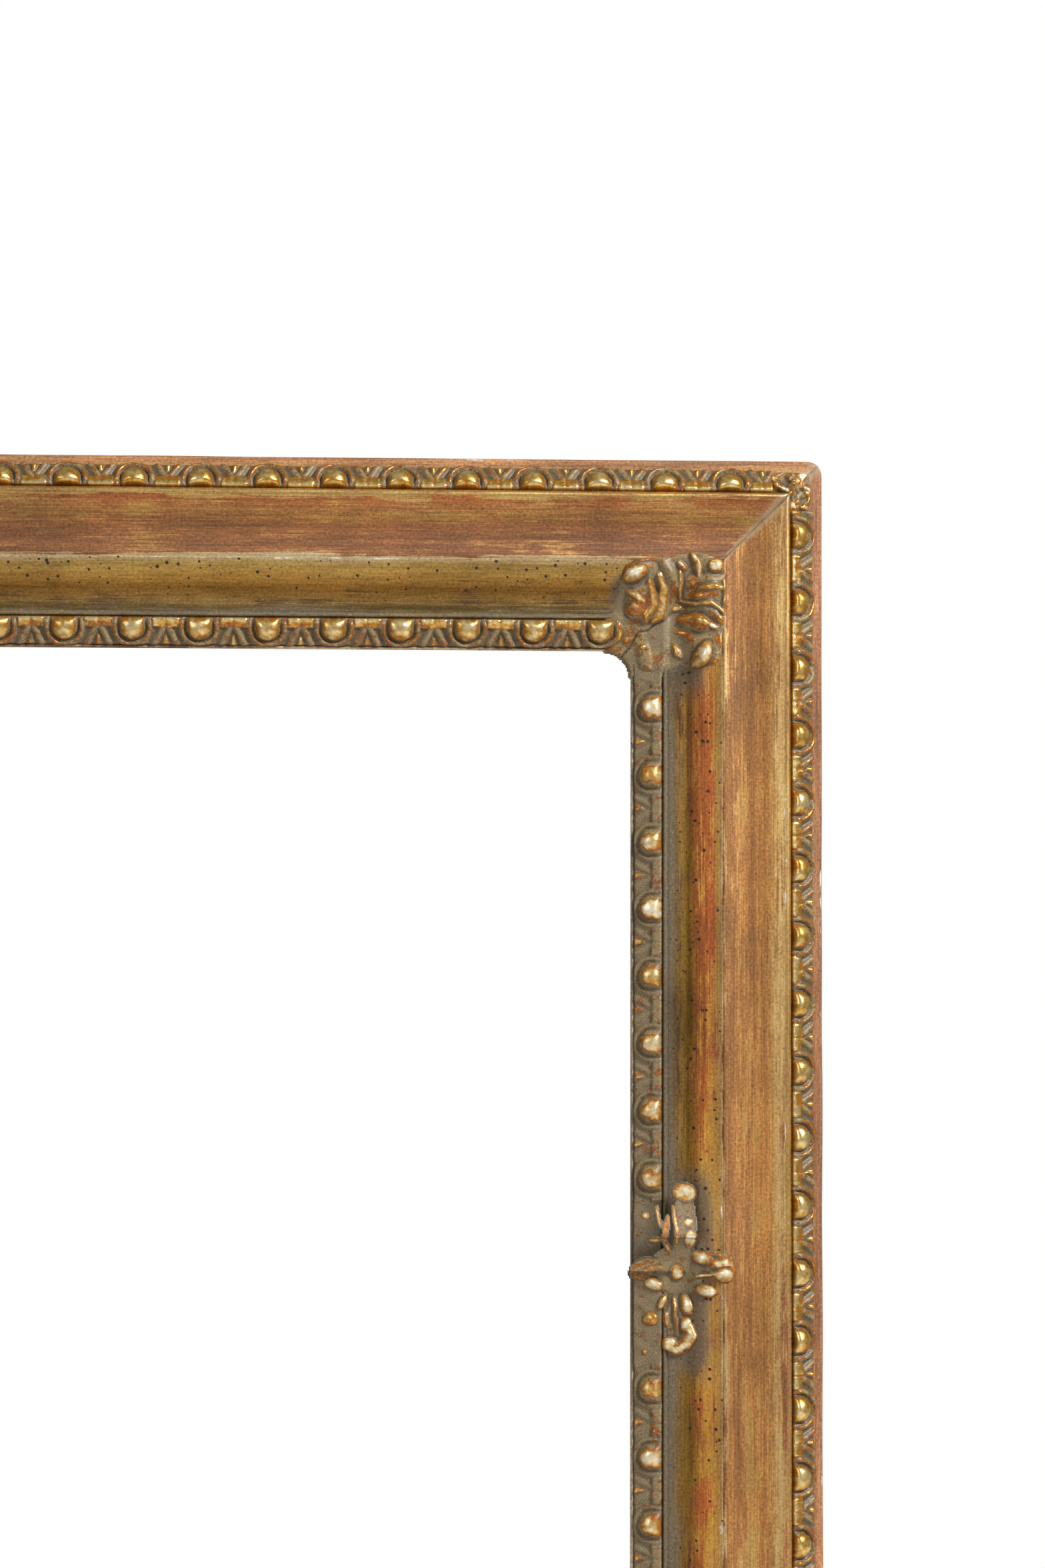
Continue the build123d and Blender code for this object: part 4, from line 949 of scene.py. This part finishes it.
EDGES_UPRIGHT = [(0, 0.42), (0.3, 0.6), (0.8, 0.47), (1.5, 0.13), (4.0, 0.19), (4.4, 0.55),
                 (4.9, 0.13), (13.6, 0.4), (15.6, 0.52), (17.0, 0.5), (18.0, 0.13), (38.9, 0.13),
                 (39.7, 0.46), (41.4, 0.42), (42.4, 0.19), (60, 0.06), (73.6, 0.19),
                 (74.2, 0.38)]


def water_gilding():
    """Gold leaf laid in water over red-brown bole, burnished, then rubbed through by cleaning.

    It gives a streaky brown frieze with traces of gold, a warm metal shine on the ogee with
    orange-red bole in the streaks, fly specks, white gesso at the knocked edges and grey dirt
    in the groove."""
    material, tree = new_material("water_gilding_rubbed_to_bole")
    place = add_node(tree, "Attribute", output="Vector", attribute_name="rail_place")
    state = add_node(tree, "Attribute", output="Vector", attribute_name="red_seam_grime")
    red, seam, grime = (add_node(tree, "SeparateXYZ", {"Vector": state}, output=axis)
                        for axis in "XYZ")
    inset = add_node(tree, "SeparateXYZ", {"Vector": place}, output="Y")
    across = add_node(tree, "Math", {0: inset, 1: 1 / (SIGHT * METRE)}, operation="MULTIPLY")
    # Marks drawn out along the rail: their number to the metre along it and across it
    marks = []
    for lengthways, crossways, detail, roughness in (
        (25, 2000, 6.0, 0.65),  # Brush strokes and burnishing marks, 40 mm long, 0.5 mm wide
        (100, 1000, 7.0, 0.8),  # Shorter rubs, 10 mm long and 1 mm wide
        (10, 260, 4.0, 0.6),  # Rubbed stripes, 100 mm long and about 4 mm wide
        (40, 100, 5.0, 0.7),  # Blotches, 25 mm long and 10 mm wide
        (28, 700, 5.0, 0.7),  # Streaks, about 35 mm long and 1.5 mm wide
        (130, 900, 5.0, 0.7),  # Knocks and chips, about 8 mm long and 1 mm wide
    ):
        drawn_out = add_node(tree, "Mapping", {
            "Vector": place, "Scale": (lengthways, crossways, 1)})
        marks.append(add_node(tree, "TexNoise", {
            "Vector": drawn_out, "Scale": 1.0, "Detail": detail, "Roughness": roughness}))
    long_strokes, short_strokes, stripes, blotch, streak, knocks = marks
    strokes = add_node(tree, "Mix", {"Factor": 0.5, "A": long_strokes, "B": short_strokes},
                       data_type="FLOAT")
    # Grit from 1 mm down to 0.1 mm
    grit = add_node(tree, "TexNoise", {
        "Vector": place, "Scale": 900.0, "Detail": 5.0, "Roughness": 0.8})
    # Stains some 60 mm across, in the frame's own axes so that they pass over the mitres
    stains = add_node(tree, "TexNoise", {
        "Vector": add_node(tree, "TexCoord", output="Object"), "Scale": 17.0, "Detail": 4.0,
        "Roughness": 0.6})
    # The bands of the finish waver by about 1 mm with the stripes, and by more on the ogee
    waver = add_node(tree, "MapRange", {
        "Value": stripes, "From Min": 0.3, "From Max": 0.7, "To Min": -0.012, "To Max": 0.012})
    on_ogee = add_node(tree, "MapRange", {
        "Value": across, "From Min": 0.54, "From Max": 0.6, "To Max": 0.14})
    wavering = add_node(tree, "Mix", {"Factor": 0.7, "A": blotch, "B": streak},
                        data_type="FLOAT")
    for other, step in ((0.5, "SUBTRACT"), (on_ogee, "MULTIPLY"), (waver, "ADD"),
                        (across, "ADD")):
        wavering = add_node(tree, "Math", {0: wavering, 1: other}, operation=step)

    def by_place(top, upright, where=wavering):
        """A colour or share by the place across the rail, for the two states of wear."""
        made = [add_node(tree, "ValToRGB", {"Fac": where},
                         stops=[(at / SIGHT, code) for at, code in stops])
                for stops in (top, upright)]
        return add_node(tree, "Mix", {"Factor": red, "A": made[0], "B": made[1]},
                        data_type="RGBA")

    # Lighter and darker strokes, grit, broad stripes, blotches and stains, round a middle grey
    tone, mottle, broad, shade, cloud = (
        add_node(tree, "ValToRGB", {"Fac": pattern}, stops=stops) for pattern, stops in (
            (strokes, [(0.34, 0.08), (0.44, 0.34), (0.52, 0.52), (0.6, 0.74), (0.68, 1.0)]),
            (grit, [(0.36, 0.2), (0.5, 0.5), (0.64, 0.82)]),
            (stripes, [(0.32, 0.26), (0.5, 0.5), (0.68, 0.78)]),
            (blotch, [(0.32, 0.3), (0.5, 0.5), (0.68, 0.68)]),
            (stains, [(0.3, 0.3), (0.5, 0.5), (0.7, 0.66)])))
    # Leaf stays in streaks, more where more of it is left
    patchy = strokes
    for share, other in ((0.42, stripes), (0.35, blotch)):
        patchy = add_node(tree, "Mix", {"Factor": share, "A": patchy, "B": other},
                          data_type="FLOAT")
    patchy = add_node(tree, "MapRange", {
        "Value": patchy, "From Min": 0.38, "From Max": 0.62, "To Min": 0.24, "To Max": 0.76})
    kept = add_node(tree, "Math", {0: by_place(LEFT_TOP, LEFT_UPRIGHT), 1: patchy},
                    operation="ADD")
    kept = add_node(tree, "MapRange", {
        "Value": kept, "From Min": 0.98, "From Max": 1.1}, interpolation_type="SMOOTHSTEP")
    # Bole and leaf, each with its tones, then one over the other with the broadest tones
    colour = by_place(BOLE_TOP, BOLE_UPRIGHT)
    leaf = by_place(LEAF_TOP, LEAF_UPRIGHT)
    for share, tones in ((0.55, tone), (0.6, mottle)):
        leaf = add_node(tree, "Mix", {"Factor": share, "A": leaf, "B": tones},
                        data_type="RGBA", blend_type="OVERLAY")
    for share, top, blend in ((0.75, tone, "OVERLAY"), (0.55, broad, "OVERLAY"),
                              (0.75, mottle, "OVERLAY"), (kept, leaf, "MIX"),
                              (0.4, shade, "OVERLAY"), (0.8, cloud, "OVERLAY")):
        colour = add_node(tree, "Mix", {"Factor": share, "A": colour, "B": top},
                          data_type="RGBA", blend_type=blend)
    # Pale and dark grains of the grit
    for low, high, most, code in ((0.66, 0.74, 0.7, "C9A574"), (0.35, 0.27, 0.6, "4A2C17")):
        share = add_node(tree, "MapRange", {
            "Value": grit, "From Min": low, "From Max": high, "To Max": most},
            interpolation_type="SMOOTHSTEP")
        colour = add_node(tree, "Mix", {"Factor": share, "A": colour, "B": paint(code)},
                          data_type="RGBA")
    # Grey dirt in the groove, up the ogee beside the ornament and along the seam
    dirt = by_place(DIRT_TOP, DIRT_UPRIGHT)
    blur = add_node(tree, "MapRange", {
        "Value": stains, "From Min": 0.3, "From Max": 0.7, "To Min": -0.3, "To Max": 0.3})
    for other, step in ((grime, "MAXIMUM"), (blur, "ADD")):
        dirt = add_node(tree, "Math", {0: dirt, 1: other}, operation=step)
    dirt = add_node(tree, "MapRange", {
        "Value": dirt, "From Min": 0.15, "From Max": 0.85, "To Max": 0.88},
        interpolation_type="SMOOTHSTEP")
    dust = add_node(tree, "ValToRGB", {"Fac": grit}, stops=[
        (0.3, "4E4434"), (0.5, "6A5E4A"), (0.62, "7A6C54"), (0.7, "B8A888")])
    colour = add_node(tree, "Mix", {"Factor": dirt, "A": colour, "B": dust}, data_type="RGBA")
    # Fly specks up to 1.5 mm across and some 4 mm apart, most of them high on the ogee
    moved = add_node(tree, "Mapping", {"Vector": place, "Rotation": (0, 0.1, 0)})
    cells = add_node(tree, "TexVoronoi", {"Vector": moved, "Scale": 260.0},
                     output="Distance", voronoi_dimensions="2D")
    chance = add_node(tree, "SeparateColor", {"Color": cells.node.outputs["Color"]},
                      output="Red")
    size = add_node(tree, "Math", {0: chance, 1: by_place(SPECKS_TOP, SPECKS_UPRIGHT)},
                    operation="ADD")
    size = add_node(tree, "MapRange", {
        "Value": size, "From Min": 0.95, "From Max": 1.65, "To Max": 0.2})
    speck = add_node(tree, "Math", {0: size, 1: cells}, operation="SUBTRACT")
    speck = add_node(tree, "MapRange", {
        "Value": speck, "From Min": 0.0, "From Max": 0.03}, interpolation_type="SMOOTHSTEP")
    colour = add_node(tree, "Mix", {"Factor": speck, "A": colour, "B": paint("2E2219")},
                      data_type="RGBA")
    # Knocked edges show white gesso, in chips from 2 to 15 mm long that lie in clusters
    cluster = add_node(tree, "MapRange", {
        "Value": stains, "From Min": 0.35, "From Max": 0.65, "To Min": -0.12, "To Max": 0.07})
    chip = by_place(EDGES_TOP, EDGES_UPRIGHT, across)
    for other in (knocks, cluster):
        chip = add_node(tree, "Math", {0: chip, 1: other}, operation="ADD")
    chip = add_node(tree, "MapRange", {
        "Value": chip, "From Min": 1.1, "From Max": 1.16}, interpolation_type="SMOOTHSTEP")
    gesso = add_node(tree, "ValToRGB", {"Fac": grit}, stops=[
        (0.3, "BBA988"), (0.45, "DDD3BE"), (0.6, "EFEAE0")])
    colour = add_node(tree, "Mix", {"Factor": chip, "A": colour, "B": gesso}, data_type="RGBA")
    # The mitre: a hair crack in a smear of filler
    ragged = add_node(tree, "MapRange", {
        "Value": knocks, "From Min": 0.3, "From Max": 0.7, "To Min": -1.2, "To Max": 1.2})
    close = add_node(tree, "Math", {0: seam, 1: ragged}, operation="ADD")
    spread = add_node(tree, "MapRange", {
        "Value": across, "From Min": 0.2, "From Max": 0.5, "To Min": 2.4, "To Max": 0.7})
    close = add_node(tree, "Math", {0: close, 1: spread}, operation="DIVIDE")
    filler = add_node(tree, "MapRange", {
        "Value": close, "From Min": 2.4, "From Max": 0.2, "To Max": 0.62},
        interpolation_type="SMOOTHSTEP")
    colour = add_node(tree, "Mix", {"Factor": filler, "A": colour, "B": paint("A8967A")},
                      data_type="RGBA")
    wavy = add_node(tree, "MapRange", {
        "Value": knocks, "From Min": 0.3, "From Max": 0.7, "To Min": -0.4, "To Max": 0.4})
    wavy = add_node(tree, "Math", {0: seam, 1: wavy}, operation="ADD")
    crack = add_node(tree, "MapRange", {
        "Value": wavy, "From Min": 0.4, "From Max": 0.1, "To Max": 0.6},
        interpolation_type="SMOOTHSTEP")
    torn = add_node(tree, "MapRange", {"Value": stains, "From Min": 0.48, "From Max": 0.56})
    crack = add_node(tree, "Math", {0: crack, 1: torn}, operation="MULTIPLY")
    colour = add_node(tree, "Mix", {"Factor": crack, "A": colour, "B": paint("3A2614")},
                      data_type="RGBA")
    # Metal only where leaf is left and clean
    dull = dirt
    for other in (speck, chip):
        dull = add_node(tree, "Math", {0: dull, 1: other}, operation="MAXIMUM")
    clean = add_node(tree, "Math", {0: 1.0, 1: dull}, operation="SUBTRACT")
    metal = add_node(tree, "Math", {0: kept, 1: clean}, operation="MULTIPLY")
    shine = add_node(tree, "MapRange", {
        "Value": metal, "From Min": 0.0, "From Max": 1.0, "To Min": 0.58, "To Max": 0.36})
    metal = add_node(tree, "Math", {0: metal, 1: 0.75}, operation="MULTIPLY")
    relief = strokes
    for other, step in ((grit, "ADD"), (chip, "SUBTRACT"), (speck, "ADD")):
        relief = add_node(tree, "Math", {0: relief, 1: other}, operation=step)
    finish_material(tree, {"Base Color": colour, "Metallic": metal, "Roughness": shine,
                           "Specular IOR Level": 0.4}, relief, 0.00007)
    return material


def gilt_composition():
    """Pressed composition, gilded over bole and left with a grey-brown toned wash.

    It gives bright gold crests that turn orange and rust at their feet, cream where they are
    rubbed, a satin grey-brown skin on all the rest, and dirt with painted shade that darkens
    the skin in the hollows."""
    material, tree = new_material("gilt_pressed_composition")
    place = add_node(tree, "Attribute", output="Vector", attribute_name="rail_place")
    masks = add_node(tree, "Attribute", output="Vector", attribute_name="gilt_dirt_shade_worn")
    gilt, dirt_and_shade, worn = (add_node(tree, "SeparateXYZ", {"Vector": masks}, output=axis)
                        for axis in "XYZ")
    # Blots of 2 to 3 mm, and grain of about 0.5 mm
    blot = add_node(tree, "TexNoise", {
        "Vector": place, "Scale": 480.0, "Detail": 6.0, "Roughness": 0.62})
    fine = add_node(tree, "TexNoise", {
        "Vector": place, "Scale": 2200.0, "Detail": 3.0, "Roughness": 0.7})
    shift = add_node(tree, "MapRange", {
        "Value": blot, "From Min": 0.3, "From Max": 0.7, "To Min": -0.3, "To Max": 0.3})
    patch = add_node(tree, "TexNoise", {"Vector": place, "Scale": 150.0, "Detail": 4.0})
    patch = add_node(tree, "MapRange", {
        "Value": patch, "From Min": 0.35, "From Max": 0.65, "To Min": -0.12, "To Max": 0.16})
    share = gilt
    for other in (shift, patch):
        share = add_node(tree, "Math", {0: share, 1: other}, operation="ADD")
    # Whole gold, gold rubbed to cream, the wash, and the thinner olive wash under it
    gold, cream, wash, olive = (
        add_node(tree, "ValToRGB", {"Fac": pattern}, stops=stops) for pattern, stops in (
            (share, [(0.22, "5A4326"), (0.34, "74401A"), (0.45, "A5611B"), (0.57, "C08428"),
                     (0.72, "D09C3C"), (0.88, "DFB65E"), (1.0, "EBD08C")]),
            (share, [(0.22, "6A4424"), (0.33, "843A14"), (0.46, "B8692A"), (0.58, "CFA050"),
                     (0.72, "DFC68C"), (0.86, "EBDDBC"), (1.0, "F2EBD8")]),
            (fine, [(0.28, "54462F"), (0.5, "7A694B"), (0.61, "8E7D5E"), (0.68, "C8B894")]),
            (fine, [(0.28, "76602F"), (0.5, "A4864C"), (0.7, "C4A468")])))
    metal_colour = add_node(tree, "Mix", {"Factor": worn, "A": gold, "B": cream},
                            data_type="RGBA")
    # Less of the wash is left on the clean outer runs
    clean = add_node(tree, "MapRange", {
        "Value": gilt, "From Min": 0.02, "From Max": 0.3, "To Max": 0.75})
    wash = add_node(tree, "Mix", {"Factor": clean, "A": wash, "B": olive}, data_type="RGBA")
    # Dirt and painted shade darken the wash in the hollows and at the feet of the forms
    hollow = add_node(tree, "MapRange", {
        "Value": dirt_and_shade, "From Min": 0.1, "From Max": 0.9, "To Max": 0.85})
    wash = add_node(tree, "Mix", {"Factor": hollow, "A": wash, "B": paint("40321F")},
                    data_type="RGBA")
    mask = add_node(tree, "MapRange", {
        "Value": share, "From Min": 0.2, "From Max": 0.34}, interpolation_type="SMOOTHSTEP")
    colour = add_node(tree, "Mix", {"Factor": mask, "A": wash, "B": metal_colour},
                      data_type="RGBA")
    shiny = add_node(tree, "MapRange", {
        "Value": worn, "From Min": 0.0, "From Max": 1.0, "To Min": 0.85, "To Max": 0.3})
    bright = add_node(tree, "MapRange", {
        "Value": share, "From Min": 0.34, "From Max": 0.6}, interpolation_type="SMOOTHSTEP")
    metal = add_node(tree, "Math", {0: bright, 1: shiny}, operation="MULTIPLY")
    rough = add_node(tree, "MapRange", {
        "Value": bright, "From Min": 0.0, "From Max": 1.0, "To Min": 0.42, "To Max": 0.27})
    finish_material(tree, {"Base Color": colour, "Metallic": metal, "Roughness": rough},
                    fine, 0.00005)
    return material


def plain_finish(name, dark, light, metallic, roughness):
    """A finish of one colour, darker in patches about 6 mm across."""
    material, tree = new_material(name)
    place = add_node(tree, "TexCoord", output="Object")
    patch = add_node(tree, "TexNoise", {"Vector": place, "Scale": 160.0, "Detail": 5.0})
    shade = add_node(tree, "MapRange", {"Value": patch, "From Min": 0.35, "From Max": 0.65})
    colour = add_node(tree, "Mix", {"Factor": shade, "A": paint(dark), "B": paint(light)},
                      data_type="RGBA")
    finish_material(tree, {"Base Color": colour, "Metallic": metallic, "Roughness": roughness},
                    patch, 0.00004)
    return material


def old_pine(name, turn):
    """Bare pine, sawn and planed, darkened by age: grain lines along each member."""
    material, tree = new_material(name)
    place = add_node(tree, "TexCoord", output="Object")
    place = add_node(tree, "Mapping", {"Vector": place, "Rotation": (0, turn, 0)})
    bend = add_node(tree, "TexNoise", {
        "Vector": add_node(tree, "Mapping", {"Vector": place, "Scale": (2.5, 12, 12)}),
        "Scale": 1.0, "Detail": 3.0}, output="Color")
    bend = add_node(tree, "Mapping", {"Vector": bend, "Scale": (0.06, 0.06, 0.06)})
    grain = add_node(tree, "VectorMath", {0: place, 1: bend}, operation="ADD")
    # Rings about 4 mm apart
    rings = add_node(tree, "TexWave", {
        "Vector": add_node(tree, "Mapping", {"Vector": grain, "Scale": (0.05, 1.0, 1.0)}),
        "Scale": 70.0, "Distortion": 1.2, "Detail": 3.0}, bands_direction="Z")
    fibre = add_node(tree, "TexNoise", {
        "Vector": add_node(tree, "Mapping", {"Vector": place, "Scale": (20, 1500, 1500)}),
        "Scale": 1.0, "Detail": 4.0})
    colour = add_node(tree, "ValToRGB", {"Fac": rings}, stops=[
        (0.1, "6B4A2C"), (0.5, "8A6440"), (0.9, "9C764E")])
    fibres = add_node(tree, "ValToRGB", {"Fac": fibre}, stops=[
        (0.3, "5A3D24"), (0.6, "93704A")])
    colour = add_node(tree, "Mix", {"Factor": 0.4, "A": colour, "B": fibres},
                      data_type="RGBA")
    finish_material(tree, {"Base Color": colour, "Roughness": 0.75}, fibre, 0.0001)
    return material


def stage():
    """A pale floor and soft studio lights."""
    bm = bmesh.new()
    bmesh.ops.create_circle(bm, cap_ends=True, segments=64, radius=1.1)
    mesh = bpy.data.meshes.new("floor")
    bm.to_mesh(mesh)
    bm.free()
    floor_piece = bpy.data.objects.new("floor", mesh)
    bpy.context.scene.collection.objects.link(floor_piece)
    material, tree = new_material("pale_matt_floor")
    finish_material(tree, {"Base Color": paint("E4E2DF"), "Roughness": 0.8})
    mesh.materials.append(material)

    world = bpy.data.worlds.new("studio")
    bpy.context.scene.world = world
    world.use_nodes = True
    tree = world.node_tree
    tree.nodes.clear()
    # White where the camera sees it, and a dim room for the light and the reflections
    seen = add_node(tree, "LightPath", output="Is Camera Ray")
    strength = add_node(tree, "MapRange", {
        "Value": seen, "From Min": 0.0, "From Max": 1.0, "To Min": 0.2, "To Max": 1.0})
    shine = add_node(tree, "Background", {"Color": (1, 1, 1, 1), "Strength": strength})
    out = tree.nodes.new("ShaderNodeOutputWorld")
    tree.links.new(shine, out.inputs["Surface"])

    for name, spot, aim, size, watts in (
        ("key", (1.15, -1.1, 1.3), (0.15, 0, 0.4), 0.55, 32),
        ("fill", (-1.3, -1.5, 0.9), (0.1, 0, 0.35), 0.9, 8),
        ("back", (0.3, 1.6, 1.2), (0, 0, 0.3), 1.0, 12),
    ):
        lamp = bpy.data.lights.new(name, "AREA")
        lamp.shape, lamp.size, lamp.energy = "SQUARE", size, watts
        holder = bpy.data.objects.new(name, lamp)
        bpy.context.scene.collection.objects.link(holder)
        towards = Vector(aim) - Vector(spot)
        holder.matrix_world = Matrix.Translation(spot) @ towards.to_track_quat(
            "-Z", "Y").to_matrix().to_4x4()


bpy.context.scene.view_settings.view_transform = "Standard"

FRONT = section_points()
GILDING = water_gilding()
GILT_COMPOSITION = gilt_composition()

camera()
for side in RAILS:
    moulding_skin(side)
    relief_run(side, "outer_egg_run", (BAND, BAND_TOP), (OUTER_BED, BED_TOP), OUTER_SHORT,
               outer_places(side), OUTER_GRIME)
    relief_run(side, "inner_egg_run", (INNER_BED, SIGHT_FOOT), (BEAD, BEAD_FOOT), INNER_SHORT,
               inner_places(side), GRIME[side])
    corner_leaf(side)
    outer_leaf(side)
    centre_flower(side)

pine_lying = old_pine("old_pine_lying", 0)
pine_standing = old_pine("old_pine_standing", pi / 2)
peg_oak = plain_finish("oak_peg", "46301C", "5E4026", 0.0, 0.7)
iron = plain_finish("forged_iron", "2A2423", "3E3634", 0.8, 0.6)
STEEL = plain_finish("dull_steel", "6E6A64", "98948C", 1.0, 0.4)
BRASS = plain_finish("tarnished_brass", "8A6A38", "BE9C58", 1.0, 0.4)
for name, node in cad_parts.items():
    finish = None
    if name.startswith("back_frame"):
        finish = pine_standing if name.endswith(("left", "right")) else pine_lying
    elif name == "corner_pegs":
        finish = peg_oak
    elif name == "moulding_nails":
        finish = iron
    if finish:
        node.data.materials.clear()
        node.data.materials.append(finish)

for side in HANGERS:
    hanger_ring(side)
    hanger_plate(side)
for side in RAILS:
    turn_button(side)
slotted_screws("hanger_screw_heads", [(x, z) for x in HANGERS.values() for z in HANGER_SCREWS],
               seat=11.2, tip=-2.8, node="hanger_screws")
slotted_screws("button_screw_heads", BUTTONS.values(), seat=12.4, tip=-1.6,
               node="turn_button_screws")

stage()
